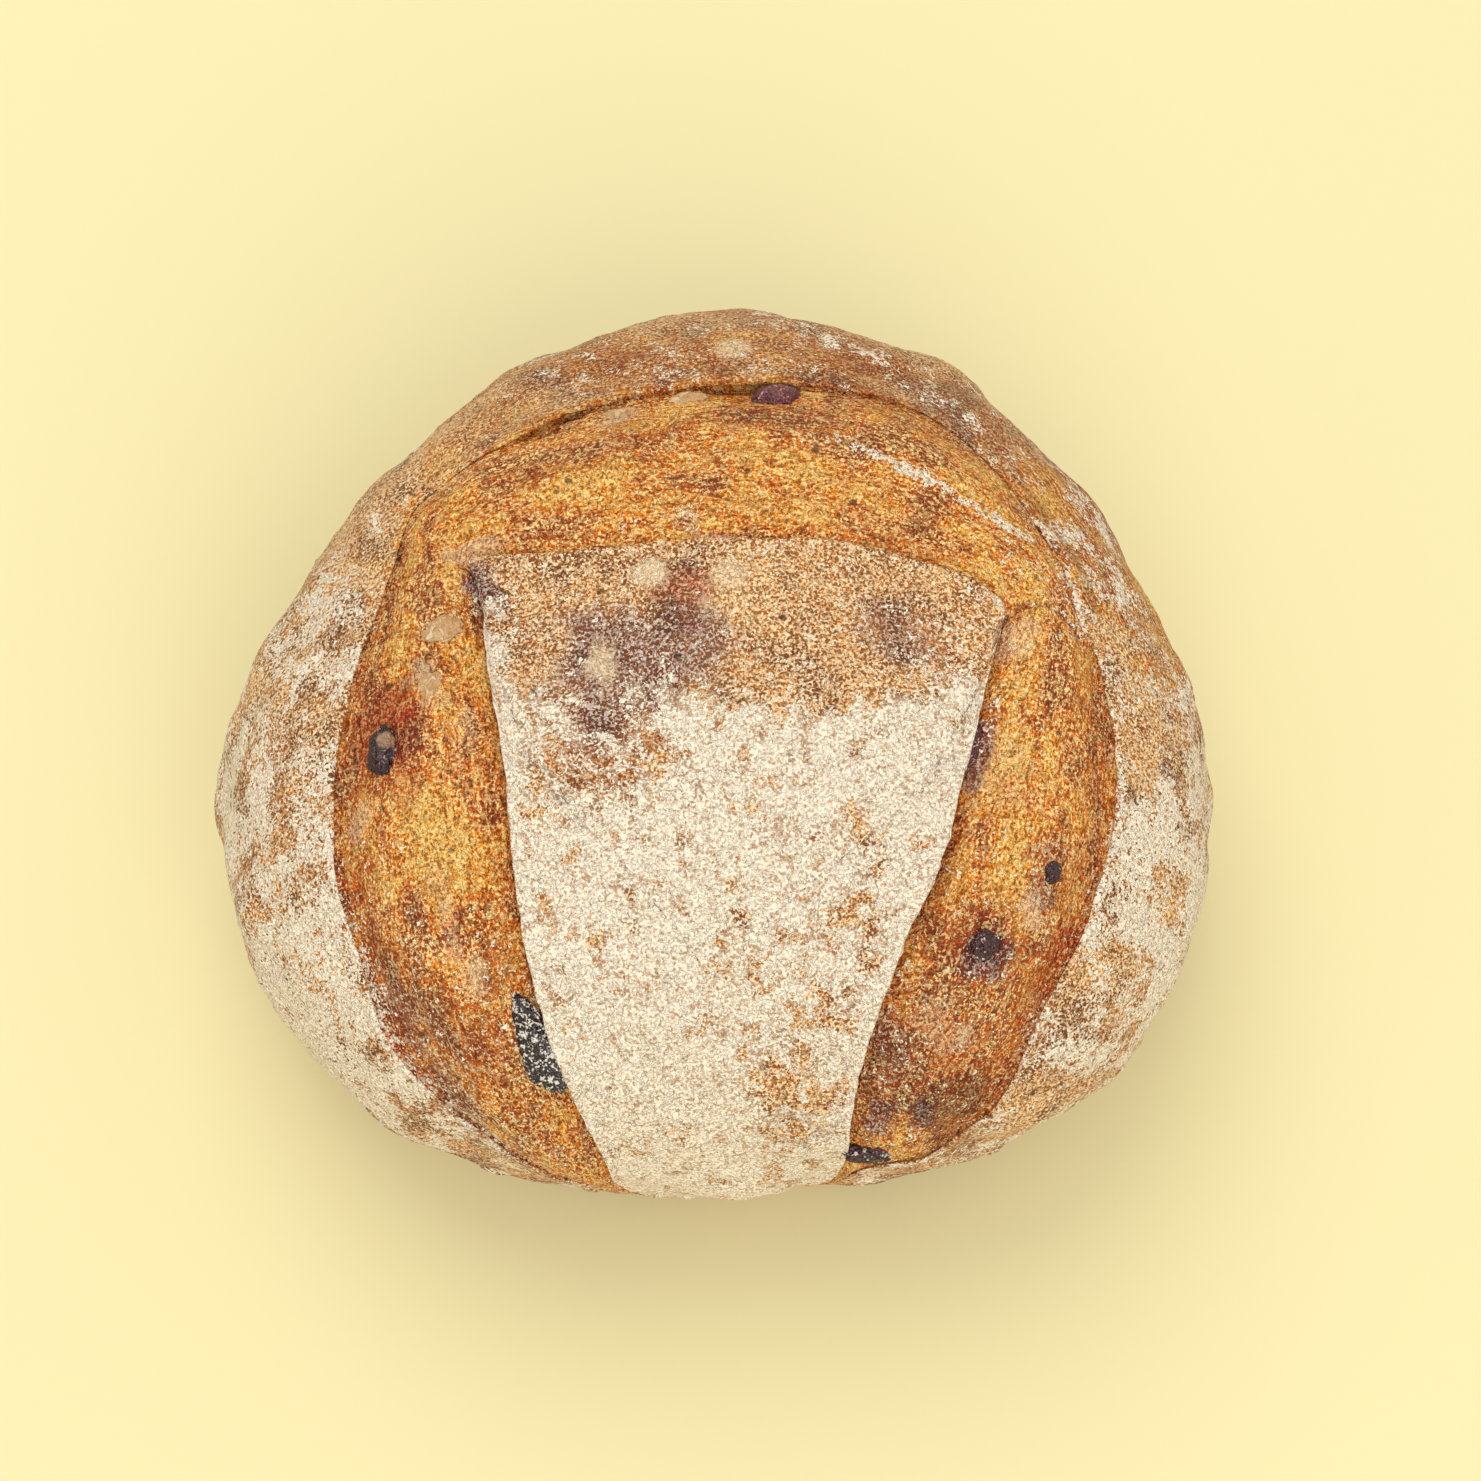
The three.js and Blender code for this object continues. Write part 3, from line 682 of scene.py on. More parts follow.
# Patches of less or more flour: x, y, length, width, turn, change
FLOUR_PATCHES = [
    (-19, -17, 26, 15, 10, -0.5),
    (23, -27, 6, 5, 10, -0.5),
    (19, -43, 12, 9, 20, -0.28),
    (9, -20, 5, 4, 0, -0.3),
    (6.5, -51, 6, 3, 100, -0.5),
    (14, -68, 22, 10, 10, -0.4),
    (24, -40, 10, 14, 0, -0.2),
    (13, -58, 16, 8, 20, -0.2),
    (-5, -13, 30, 6, 5, 0.1),
    (-38, 11, 5, 9, 80, 0.35),
    (74, -11, 10, 16, 80, -0.1),
    (72, 8, 9, 20, 80, -0.1),
    (76, -30, 24, 22, 70, 0.15),
    (64, -54, 10, 16, -40, -0.2),
    (70, -44, 22, 14, 60, 0.2),
    (-70, -20, 16, 36, 5, -0.12),
    (-69, -47, 24, 18, -50, 0.35),
    (-71, 12, 18, 10, 70, 0.2),
    (-62, 8, 6, 12, 60, -0.2),
    (22, 66, 26, 5, -10, 0.25),
    (43, 50, 26, 8, -45, 0.3),
    (33, 34.5, 24, 2.2, -24, 1.0),
    (48, 27, 12, 2.4, -20, 0.6),
    (56, 19, 20, 12, -30, 0.3),
    (14, 39, 12, 1.4, 8, 0.4),
    (-12, 24, 10, 1.6, 10, 0.35),
    (45, -9, 2, 12, -14, 0.4),
    (-45, 38, 10, 6, 40, 0.35),
    (60, 8, 8, 12, -50, 0.25),
    (55, 40, 12, 20, 40, 0.15),
]

# Stains from the fruit: x, y, length, width, turn, strength, as in the tables after it
PURPLE_PATCHES = [
    (-13, -2, 29, 20, 10, 0.95),
    (-3, 3, 13, 11, -20, 0.9),
    (-24, -9, 10, 14, 20, 0.6),
    (30, 4, 15, 10, -25, 0.5),
    (-38, 13.5, 5.5, 10, 10, 1.0),
    (43.2, -15.2, 4.2, 14, -16, 0.95),
    (-51, -54, 15, 5, -55, 0.6),
    (-42, -66, 14, 4, -50, 0.6),
    (-44, -60, 14, 6, -50, 0.4),
    (54, -31, 8, 6, 0, 0.35),
    (-4, 23, 3, 5, 20, 0.5),
    (38, 52, 12, 8, -35, 0.5),
    (76, -13, 2.5, 5, 60, 0.8),
    (27.2, -69.1, 5, 4.4, 0, 0.95),
    (33.7, -69, 4.4, 4, 0, 0.8),
    (28, -60, 7, 12, 10, 0.5),
    (52.5, -37.4, 4, 7, 20, 0.6),
    (43.8, -47.5, 8, 7.5, 0, 0.95),
]

# Dough and skin reddened beside the fruit
RED_PATCHES = [
    (31, 5, 17, 11, -25, 0.55),
    (-5.5, 11, 11, 12, 60, 0.8),
    (-53.7, -10, 12, 15, -10, 1.0),
    (-53.7, -12, 7, 10, -10, 1.2),
    (-51, -19, 9, 14, 20, 0.6),
    (43, -45, 17, 15, -30, 0.6),
    (37, -63, 24, 10, 35, 0.6),
    (-35, -49, 7, 12, 10, 0.6),
    (-37, -60, 10, 7, -30, 0.6),
    (-49, -40.5, 7, 6, 0, 0.6),
    (-45, -36, 6, 5, 0, 0.5),
    (10, 46, 24, 7, 0, 0.55),
    (-20, 40, 26, 6, 25, 0.35),
    (57, -33, 10, 12, 0, 0.35),
    (-20, 1, 6, 18, 10, 0.35),
    (18.5, -47, 10, 8, 0, 0.4),
    (40, 44, 26, 9, -35, 0.45),
    (63, -12, 5, 24, 0, 0.45),
    (51, -54, 8, 9, -20, 0.3),
]

# Skin and dough that baked longest
BROWN_PATCHES = [
    (43, -46, 12, 10, -30, 0.6),
    (-46, -54, 36, 6, -48, 0.5),
    (-57, -33, 26, 5, -70, 0.2),
    (-22, 37, 34, 8, 18, 0.5),
    (4, 44, 22, 5, -4, 0.5),
    (22, 41, 16, 7, -20, 0.55),
    (-2, 30, 20, 3, 4, 0.35),
    (-40, -58, 12, 8, 30, 0.4),
    (-19, -17, 25, 14, 10, 0.6),
    (28, 50, 22, 7, -20, 0.45),
    (34, -52, 17, 10, 60, 0.35),
    (28, -64, 14, 16, 0, 0.4),
    (39, -67, 14, 6, 20, 0.9),
    (43, -45, 18, 16, -30, 0.4),
    (38, -34, 5, 20, -20, 0.35),
    (44, 53, 16, 12, -40, 0.5),
    (16, 26, 30, 6, -8, 0.3),
    (30, 20, 22, 5, -20, 0.3),
    (-30, 26, 20, 5, 20, 0.3),
    (0, 36, 40, 3, 5, 0.3),
    (-44, 12, 10, 12, 0, 0.3),
]

# Pale bits of nut and dry dough
PALE_PATCHES = [
    (-44.6, 7.2, 5.4, 3.4, 30, 0.75),
    (-47.4, -1.2, 3.6, 6.0, 20, 0.6),
    (-50.4, -2.6, 3.0, 3.4, 0, 0.35),
    (-58.5, -26.0, 3.4, 5.0, 0, 0.5),
    (-18.6, -1.5, 5.4, 10, 0, 0.95),
    (-40, 21, 12, 5, 10, 0.55),
    (50, 6, 10, 8, 40, 0.5),
    (-45, -6, 6, 5, 20, 0.4),
    (-38, -51, 3, 8, 8, 0.6),
    (-42, -44, 3, 22, 14, 0.4),
    (-57, -24, 4, 5, 0, 0.5),
    (-41, -12, 5, 12, 0, 0.3),
    (18, -70, 3, 2.2, 0, 0.9),
    (0, 21, 7, 2.6, 0, 0.5),
    (-17, 45, 9, 3, 20, 0.6),
    (51, -40, 4, 8, 0, 0.6),
    (46, -20, 16, 10, 60, 0.3),
    (36, -57, 9, 8, 0, 0.35),
    (40, -59, 4, 1.4, 45, 0.9),
    (2.7, 13.7, 7, 4, 0, 0.7),
]

# Dough that has stayed lightest
BRIGHT_PATCHES = [
    (-44, -32, 7, 26, 14, 0.9),
    (-40, -50, 6, 16, 20, 0.6),
    (-53, 4, 12, 8, 20, 0.6),
    (51, -52, 12, 12, -20, 0.7),
    (58, -38, 6, 16, 10, 0.7),
    (48, -24, 10, 18, 15, 0.6),
    (10, 33, 46, 8, 0, 0.3),
    (4, 42, 12, 5, 0, 0.6),
    (-24, 30, 20, 6, 30, 0.4),
    (36, -57, 10, 10, 0, 0.4),
]

# Dough that has baked deepest in colour
DEEP_PATCHES = [
    (40, -56, 20, 26, -20, 0.8),
    (27, -66, 20, 12, 0, 0.6),
    (-55, -20, 9, 60, 6, 0.3),
    (-40, -58, 34, 12, -45, 0.6),
    (-30, -66, 18, 12, -30, 0.4),
    (62, -16, 7, 34, 2, 0.45),
    (43, -46, 20, 16, -20, 0.5),
    (-28, 40, 30, 12, 25, 0.5),
    (18, 43, 30, 10, -12, 0.5),
    (-10, 29, 24, 4, 6, 0.4),
    (-48, 13, 12, 14, 10, 0.5),
    (-35, -32, 6, 22, 10, 0.4),
]

# Crust without flour that looks much like the dough beside it
GOLDEN_PATCHES = [
    (62, 30, 22, 50, 35, 1.0),
    (0, 62, 90, 16, 0, 0.55),
    (-40, 48, 30, 16, 40, 0.5),
]


def painted(point, rows, seed, soft=0.4, rough=0.5):
    """The strongest of several patches at each point."""
    total = np.zeros(len(point))
    for index, (x, y, length, width, turn, strength) in enumerate(rows):
        spot = patch(point, x, y, length, width, turn, soft, rough, seed + index)
        total = np.maximum(total, strength * spot)
    return total


def dough_tone(points, facts):
    """Light and dark bands along the tear, broken up by softer blotches."""
    bands = np.stack([facts["along"] / 15, facts["across"] / 4.6, np.zeros(len(points))], -1)
    return (
        0.44 + 0.5 * noise_at(bands, 1.0, 24, 3) + 0.36 * noise_at(points, 6.5, 21, 3)
        + 0.3 * painted(points, BRIGHT_PATCHES, 190)
        - 0.34 * painted(points, DEEP_PATCHES, 210)
    )


def flour_cover(points, facts, slow, quick):
    """How much flour lies on each point, from below 0 for none to over 1 for thick."""
    dough = facts["zone"] == DOUGH
    flap = facts["zone"] == FLAP
    reach, share = facts["reach"], facts["share"]
    x, y = (points[:, :2] - CROWN_PLACE).T
    left_delay = 15 * (x < 0)
    side = smooth(48, 60, np.abs(x)) * (1 - smooth(0, 32, y - left_delay))
    crust = 0.24 + 0.36 * side + 0.14 * smooth(10, -50, y) + 0.5 * slow + 0.6 * quick
    crust -= 0.3 * smooth(1.12, 1.4, reach) + 0.08 * smooth(30, 50, y)
    spots = 0.22 * smooth(0.12, 0.6, quick) + 0.08 * smooth(0.1, 0.6, slow)
    on_flap = mix(0.22 + 0.25 * quick, 1.12 - spots, flap_flour(points))
    on_dough = 0.02 + 0.16 * smooth(-20, -70, y) + 0.1 * slow
    flour = np.where(dough, on_dough, np.where(flap, on_flap, crust))
    for index, (px, py, length, width, turn, change) in enumerate(FLOUR_PATCHES):
        flour += change * patch(points, px, py, length, width, turn, 0.6, 0.5, 60 + index)
    sides = smooth(14, 4, y - 8 * (x > 0))
    flour += 0.4 * facts["rim"] * sides * np.where(flap, 1, 0.35)
    front_left = smooth(0.78, 1.0, share) * smooth(-28, -50, y) * smooth(10, -20, x)
    outer_edge = smooth(0.9, 1.0, share) * smooth(40, 52, np.abs(x))
    flour += dough * (0.3 * front_left + 0.22 * outer_edge)
    flour -= 0.34 * ~dough * smooth(0.12, 0.5, noise_at(points, 3.4, 23, 2))
    blotches = noise_at(points, 5.2, 26, 2)
    flour -= 0.42 * flap * smooth(0.12, 0.3, blotches) * (1 - 0.6 * smooth(0.36, 0.5, blotches))
    return flour * (1 - smooth(1.35, 1.7, reach) * 0.8)


def red_mask(points, facts, quick):
    """Red beside the fruit and along the deep outer wall of the opened dough."""
    x, y = (points[:, :2] - CROWN_PLACE).T
    wall = smooth(0.6, 0.85, facts["share"]) * smooth(34, 52, np.abs(x))
    wall = wall * (facts["zone"] == DOUGH) * mix(0.42, 0.7, smooth(-20, -45, y))
    return np.maximum(painted(points, RED_PATCHES, 110), wall * (1 + 0.6 * quick))


def brown_and_shade_mask(points, facts, slow):
    """Brown where the loaf baked longest, painted shade along the creases, and in the groove beside the
    flap both browning and painted shade.
    """
    x, y = (points[:, :2] - CROWN_PLACE).T
    brown_and_shade = painted(points, BROWN_PATCHES, 130) + 0.18 * slow
    brown_and_shade += (facts["zone"] >= CRUST) * (0.42 + 0.25 * smooth(30, 55, y) + 0.5 * slow)
    brown_and_shade += 0.25 * smooth(1.3, 1.9, facts["reach"])
    # In the groove beside the flap's edge: part real browning, part painted shade
    flap_groove_brown_and_shade = smooth(0.14, 0.03, facts["share"]) * smooth(20, 32, np.abs(x))
    brown_and_shade += 0.35 * (facts["zone"] == DOUGH) * flap_groove_brown_and_shade
    # Painted shade along the creases
    for _, _, painted_shade, path in CREASES:
        brown_and_shade = np.maximum(brown_and_shade, 1.3 * painted_shade * near_crease(points, 0.9, path))
    return brown_and_shade


def opened_mask(points, facts):
    """1 on the opened dough, with a worn edge at the top, and on crust that looks like it."""
    zone, reach = facts["zone"], facts["reach"]
    golden = smooth(0.2, 0.8, painted(points, GOLDEN_PATCHES, 170, 0.5))
    golden *= smooth(1.12, 0.85, reach)
    upper = smooth(12, 26, points[:, 1] - CROWN_PLACE[1]) * (reach > 0.3)
    ragged = facts["beyond"] + 3.4 * noise_at(points, 3.2, 25, 3)
    worn = smooth(2.2, 0.4, ragged)
    on_dough = mix(1.0, worn, upper * (facts["share"] > 0.6))
    opened = np.where(zone == DOUGH, on_dough, worn * upper) * (zone != FLAP)
    return np.maximum(opened, golden * (zone >= CRUST))


def crust_masks(points, facts):
    """How floured, red, browned, stained and pale each point of the loaf is."""
    slow = noise_at(points, 24.0, 8, 3)
    quick = noise_at(points, 7.0, 9, 3)
    flour = flour_cover(points, facts, slow, quick)
    pale = painted(points, PALE_PATCHES, 90, 0.4)
    for x, y, radius, _, how_pale in BLISTERS:
        spot = how_pale * patch(points, x, y, radius * 2, radius * 1.7, 0, 0.25)
        pale = np.maximum(pale, spot)
        flour = mix(flour, 0.25, spot)
    skin_tone = 0.5 + 0.5 * noise_at(points, 7.0, 21, 3)
    return {
        "opened": opened_mask(points, facts),
        "flap": (facts["zone"] == FLAP).astype(float),
        "flour": flour,
        "pale": pale,
        "red": red_mask(points, facts, quick),
        "brown_and_shade": brown_and_shade_mask(points, facts, slow),
        "purple": painted(points, PURPLE_PATCHES, 150),
        "tone": np.where(facts["zone"] == DOUGH, dough_tone(points, facts), skin_tone),
        "along": facts["along"],
        "across": facts["across"],
    }


# Materials

def feed(tree, socket, value):
    """Links a socket to a socket, or sets a number or a colour on it."""
    if isinstance(value, bpy.types.NodeSocket):
        tree.links.new(value, socket)
    elif socket.type == "RGBA":
        socket.default_value = (*value[:3], 1)
    else:
        socket.default_value = value


def new_node(tree, kind, inputs=None, **settings):
    node = tree.nodes.new(kind)
    for name, value in settings.items():
        setattr(node, name, value)
    for name, value in (inputs or {}).items():
        feed(tree, node.inputs[name], value)
    return node


def value_of(tree, operation, first, second=0.0):
    node = new_node(tree, "ShaderNodeMath", {0: first, 1: second}, operation=operation)
    return node.outputs[0]


def times(tree, first, second):
    return value_of(tree, "MULTIPLY", first, second)


def weighed(tree, parts):
    """The sum of several values, each times its weight."""
    total = None
    for value, weight in parts:
        part = times(tree, value, weight)
        total = part if total is None else value_of(tree, "ADD", total, part)
    return total


def ramp(tree, value, stops):
    """Colours along a value, from (place, colour) pairs."""
    node = new_node(tree, "ShaderNodeValToRGB", {"Fac": value})
    elements = node.color_ramp.elements
    for place, _ in stops[2:]:
        elements.new(place)
    for element, (place, colour) in zip(elements, stops):
        element.position = place
        element.color = (*colour, 1)
    return node.outputs["Color"]


def stretched(tree, value, low, high, to_low=0.0, to_high=1.0):
    """A value moved from one range to another, and kept inside it."""
    node = new_node(tree, "ShaderNodeMapRange", {
        "Value": value,
        "From Min": low,
        "From Max": high,
        "To Min": to_low,
        "To Max": to_high,
    })
    return node.outputs["Result"]


def blended(tree, share, first, second, blend="MIX"):
    """A share of the second colour over the first."""
    inputs = {0: share, 6: first, 7: second}
    node = new_node(tree, "ShaderNodeMix", inputs, data_type="RGBA", blend_type=blend)
    return node.outputs[2]


def noise_value(tree, vector, scale, detail, roughness, distortion=0.0):
    node = new_node(tree, "ShaderNodeTexNoise", {
        "Vector": vector,
        "Scale": scale,
        "Detail": detail,
        "Roughness": roughness,
        "Distortion": distortion,
    })
    return node.outputs["Fac"]


def full_noise(tree, vector, scale, detail, roughness, distortion=0.0, low=0.32, high=0.68):
    """Noise stretched until it fills 0 to 1."""
    waves = noise_value(tree, vector, scale, detail, roughness, distortion)
    return stretched(tree, waves, low, high)


def read_mask(tree, name):
    return new_node(tree, "ShaderNodeAttribute", attribute_name=name).outputs["Fac"]


def new_group(name, inputs, outputs):
    """An empty node group with named sockets, its input and its output nodes."""
    group = bpy.data.node_groups.new(name, "ShaderNodeTree")
    for socket, kind, default in inputs:
        made = group.interface.new_socket(name=socket, in_out="INPUT", socket_type=kind)
        if default is not None:
            made.default_value = default
    for socket, kind in outputs:
        group.interface.new_socket(name=socket, in_out="OUTPUT", socket_type=kind)
    start = group.nodes.new("NodeGroupInput")
    end = group.nodes.new("NodeGroupOutput")
    return group, start, end


def flour_dust_group():
    """Flour that clings to high spots: a colour, and how much of the surface it covers."""
    if "Flour Dust" in bpy.data.node_groups:
        return bpy.data.node_groups["Flour Dust"]
    group, start, end = new_group(
        "Flour Dust",
        [
            ("Vector", "NodeSocketVector", None),
            ("Amount", "NodeSocketFloat", 0.5),
            ("High Spots", "NodeSocketFloat", 0.5),
            ("Grain Scale", "NodeSocketFloat", 1700.0),
            ("Softness", "NodeSocketFloat", 0.12),
            ("Under Color", "NodeSocketColor", (0.5, 0.3, 0.1, 1)),
            ("Flour Color", "NodeSocketColor", (0.9, 0.8, 0.6, 1)),
            ("Shade Color", "NodeSocketColor", (0.6, 0.5, 0.4, 1)),
        ],
        [("Color", "NodeSocketColor"), ("Cover", "NodeSocketFloat")],
    )
    vector, amount, high_spots, scale, softness, under, pale, shade = start.outputs[:8]
    grain = full_noise(group, vector, scale, 1.0, 0.5)
    clump_scale = times(group, scale, 0.3)
    clumps = full_noise(group, vector, clump_scale, 2.0, 0.6, low=0.3, high=0.7)
    settled = weighed(group, [(grain, 0.4), (clumps, 0.33), (high_spots, 0.27)])
    settled = stretched(group, settled, 0.12, 0.84)
    bare = value_of(group, "SUBTRACT", 1.0, amount)
    bare = stretched(group, bare, 0.0, 1.0, 0.1, 1.02)
    cover = value_of(group, "SUBTRACT", settled, bare)
    cover = value_of(group, "DIVIDE", cover, softness)
    cover = stretched(group, cover, -0.5, 0.5)
    thick = stretched(group, cover, 0.2, 0.9)
    thick = times(group, stretched(group, grain, 0.08, 0.5), thick)
    flour = blended(group, thick, shade, pale)
    colour = blended(group, cover, under, flour)
    group.links.new(colour, end.inputs["Color"])
    group.links.new(cover, end.inputs["Cover"])
    return group


def baked_grain_group():
    """The pimpled grain of baked dough: fine specks, winding ridges and their height."""
    if "Baked Grain" in bpy.data.node_groups:
        return bpy.data.node_groups["Baked Grain"]
    group, start, end = new_group(
        "Baked Grain",
        [
            ("Vector", "NodeSocketVector", None),
            ("Scale", "NodeSocketFloat", 1400.0),
        ],
        [
            ("Specks", "NodeSocketFloat"),
            ("Ridges", "NodeSocketFloat"),
            ("Height", "NodeSocketFloat"),
        ],
    )
    vector, scale = start.outputs[:2]
    specks = full_noise(group, vector, scale, 1.0, 0.5, 0.5, 0.3, 0.7)
    winding = noise_value(group, vector, times(group, scale, 0.5), 1.0, 0.5, 1.3)
    ridges = stretched(group, winding, 0.5, 0.62)
    height = weighed(group, [(specks, 0.45), (ridges, 0.55)])
    group.links.new(specks, end.inputs["Specks"])
    group.links.new(ridges, end.inputs["Ridges"])
    group.links.new(height, end.inputs["Height"])
    return group


def new_material(name):
    material = bpy.data.materials.new(name)
    material.use_nodes = True
    tree = material.node_tree
    tree.nodes.clear()
    shader = tree.nodes.new("ShaderNodeBsdfPrincipled")
    output = tree.nodes.new("ShaderNodeOutputMaterial")
    tree.links.new(shader.outputs["BSDF"], output.inputs["Surface"])
    vector = tree.nodes.new("ShaderNodeTexCoord").outputs["Object"]
    return material, tree, shader, vector


def use_group(tree, group, inputs):
    return new_node(tree, "ShaderNodeGroup", inputs, node_tree=group).outputs


def speckled(tree, mask, specks, strength=0.7):
    """A painted mask broken into specks where it is neither full nor empty."""
    worn = times(tree, value_of(tree, "SUBTRACT", specks, 0.5), strength)
    soft = stretched(tree, value_of(tree, "ADD", mask, worn), 0.15, 0.85)
    return times(tree, soft, stretched(tree, mask, 0.0, 0.12))


def winding_lines(tree, vector, scale, width):
    """Thin winding lines: 1 along their middles, 0 a little way off."""
    waves = noise_value(tree, vector, scale, 1.5, 0.5, 1.6)
    away = value_of(tree, "ABSOLUTE", value_of(tree, "SUBTRACT", waves, 0.5))
    return stretched(tree, away, width, 0.0)


def dust_and_bump(tree, shader, dust, roughness, height, distance, strength=1.0):
    """Dusts a surface with flour, which is rough, and raises its grain."""
    dusted = use_group(tree, flour_dust_group(), dust)
    tree.links.new(dusted["Color"], shader.inputs["Base Color"])
    rough = stretched(tree, dusted["Cover"], 0.0, 1.0, roughness, 0.9)
    tree.links.new(rough, shader.inputs["Roughness"])
    bump = new_node(tree, "ShaderNodeBump", {
        "Height": height,
        "Strength": strength,
        "Distance": distance,
    })
    tree.links.new(bump.outputs[0], shader.inputs["Normal"])


def pores(tree, vector):
    """Small round holes, of which only some show; the mask both sinks them and paints shade in them."""
    cells = new_node(tree, "ShaderNodeTexVoronoi", {"Vector": vector, "Scale": PORE_SCALE})
    drawn = new_node(tree, "ShaderNodeSeparateColor", {"Color": cells.outputs["Color"]})
    shown = stretched(tree, drawn.outputs["Red"], 0.72, 0.76, 0.0, 0.8)
    return times(tree, stretched(tree, cells.outputs["Distance"], 0.13, 0.07), shown)


# Noise scales of the surfaces, where 1000 is about 1 mm
CRUST_GRAIN = 1950.0
CRUST_FLOUR_GRAIN = 1800.0
CELL_LINE_SCALE = 250.0
PORE_SCALE = 170.0
FRUIT_GRAIN = 1300.0
FRUIT_FLOUR_GRAIN = 2600.0
CRUST_GRAIN_HEIGHT = 0.9 * MM
FRUIT_GRAIN_HEIGHT = 0.4 * MM

CRUST_MASKS = (
    "opened", "flap", "flour", "pale", "red", "brown_and_shade", "purple", "tone", "along", "across")


def crust_material():
    colours = bpy.context.scene.loaf_colours
    material, tree, shader, vector = new_material("baked_crust")
    masks = {name: read_mask(tree, name) for name in CRUST_MASKS}
    opened = masks["opened"]

    grain = use_group(tree, baked_grain_group(), {"Vector": vector, "Scale": CRUST_GRAIN})
    ridges = grain["Ridges"]
    flow = new_node(tree, "ShaderNodeCombineXYZ", {
        "X": times(tree, masks["along"], 0.2),
        "Y": times(tree, masks["across"], 0.5),
    }).outputs[0]
    streak = full_noise(tree, flow, 1.0, 2.0, 0.6, 1.2)
    fibre = full_noise(tree, flow, 2.4, 1.0, 0.5, 1.5)
    fibre_share = times(tree, opened, 0.4)
    speck_share = value_of(tree, "SUBTRACT", 1.0, fibre_share)
    specks = weighed(tree, [(grain["Specks"], speck_share), (fibre, fibre_share)])
    cell_lines = winding_lines(tree, vector, CELL_LINE_SCALE, 0.022)

    dough_value = weighed(tree, [(masks["tone"], 0.84), (streak, 0.2), (fibre, 0.12)])
    dough = ramp(tree, dough_value, [
        (0.26, colours.dough_brown),
        (0.48, colours.dough_orange),
        (0.66, colours.dough_gold),
        (0.9, colours.dough_bright),
    ])
    skin_value = weighed(tree, [(masks["tone"], 0.66), (ridges, 0.14), (cell_lines, 0.3)])
    skin = ramp(tree, skin_value, [
        (0.18, colours.skin_brown),
        (0.42, colours.skin_caramel),
        (0.72, colours.skin_light),
    ])
    base = blended(tree, opened, skin, dough)
    # The first mask carries real browning together with painted shade along the creases and in the groove
    # beside the flap
    for name, tint in (
        ("brown_and_shade", colours.brown_and_shade_tint),
        ("red", colours.red_tint),
        ("purple", colours.purple_tint),
    ):
        base = blended(tree, speckled(tree, masks[name], specks), base, tint, "MULTIPLY")
    pale_share = speckled(tree, masks["pale"], specks, 0.4)
    base = blended(tree, times(tree, pale_share, 0.85), base, colours.pale)

    # Sunken specks get painted shade, and high specks and ridges a painted highlight, over the crust's own
    # speckle, except where the skin is pale
    plain = stretched(tree, pale_share, 0.0, 1.0, 1.0, 0.3)
    speck_shade_share = times(tree, stretched(tree, specks, 0.46, 0.26), plain)
    high_specks = stretched(tree, specks, 0.56, 0.68)
    speck_highlight_share = value_of(tree, "MAXIMUM", high_specks, times(tree, ridges, 0.4))
    tinted = value_of(tree, "MAXIMUM", masks["red"], masks["brown_and_shade"])
    tinted = stretched(tree, tinted, 0.2, 1.0, 1.0, 0.4)
    speck_highlight_share = times(tree, times(tree, speck_highlight_share, plain), tinted)
    # Painted highlight colour for high specks, partly the pale specks' own colour
    light = blended(tree, opened, colours.skin_speck_and_highlight, colours.dough_pale_and_highlight)
    light = blended(tree, masks["purple"], light, colours.lilac_speck_and_highlight)
    light = blended(tree, 0.88, base, light)
    # Painted shade for the sunken specks
    dark = blended(tree, 0.85, base, colours.speck_shade, "MULTIPLY")
    base = blended(tree, speck_shade_share, base, dark)
    base = blended(tree, speck_highlight_share, base, light)
    pore_depth_and_shade = pores(tree, vector)
    # Painted shade in the pores
    base = blended(tree, pore_depth_and_shade, base, colours.pore_shade)

    # Thick flour on the flap hides the grain and the skin under it
    thick = times(tree, masks["flap"], stretched(tree, masks["flour"], 0.45, 0.8))
    shown_ridges = times(tree, ridges, stretched(tree, thick, 0.0, 1.0, 1.0, 0.3))
    flap_lines = times(tree, cell_lines, masks["flap"])
    dust = {
        "Vector": vector,
        "Amount": masks["flour"],
        "High Spots": value_of(tree, "MAXIMUM", shown_ridges, flap_lines),
        "Grain Scale": CRUST_FLOUR_GRAIN,
        "Softness": stretched(tree, thick, 0.0, 1.0, 0.1, 0.24),
        "Under Color": blended(tree, times(tree, thick, 0.7), base, colours.flour_under),
        "Flour Color": colours.flour,
        "Shade Color": colours.flour_shade,
    }
    height = weighed(tree, [
        (grain["Height"], 0.75),
        (times(tree, streak, opened), 0.5),
        (pore_depth_and_shade, -0.6),
    ])
    dust_and_bump(tree, shader, dust, 0.5, height, CRUST_GRAIN_HEIGHT)
    shader.inputs["Specular IOR Level"].default_value = 0.25
    return material


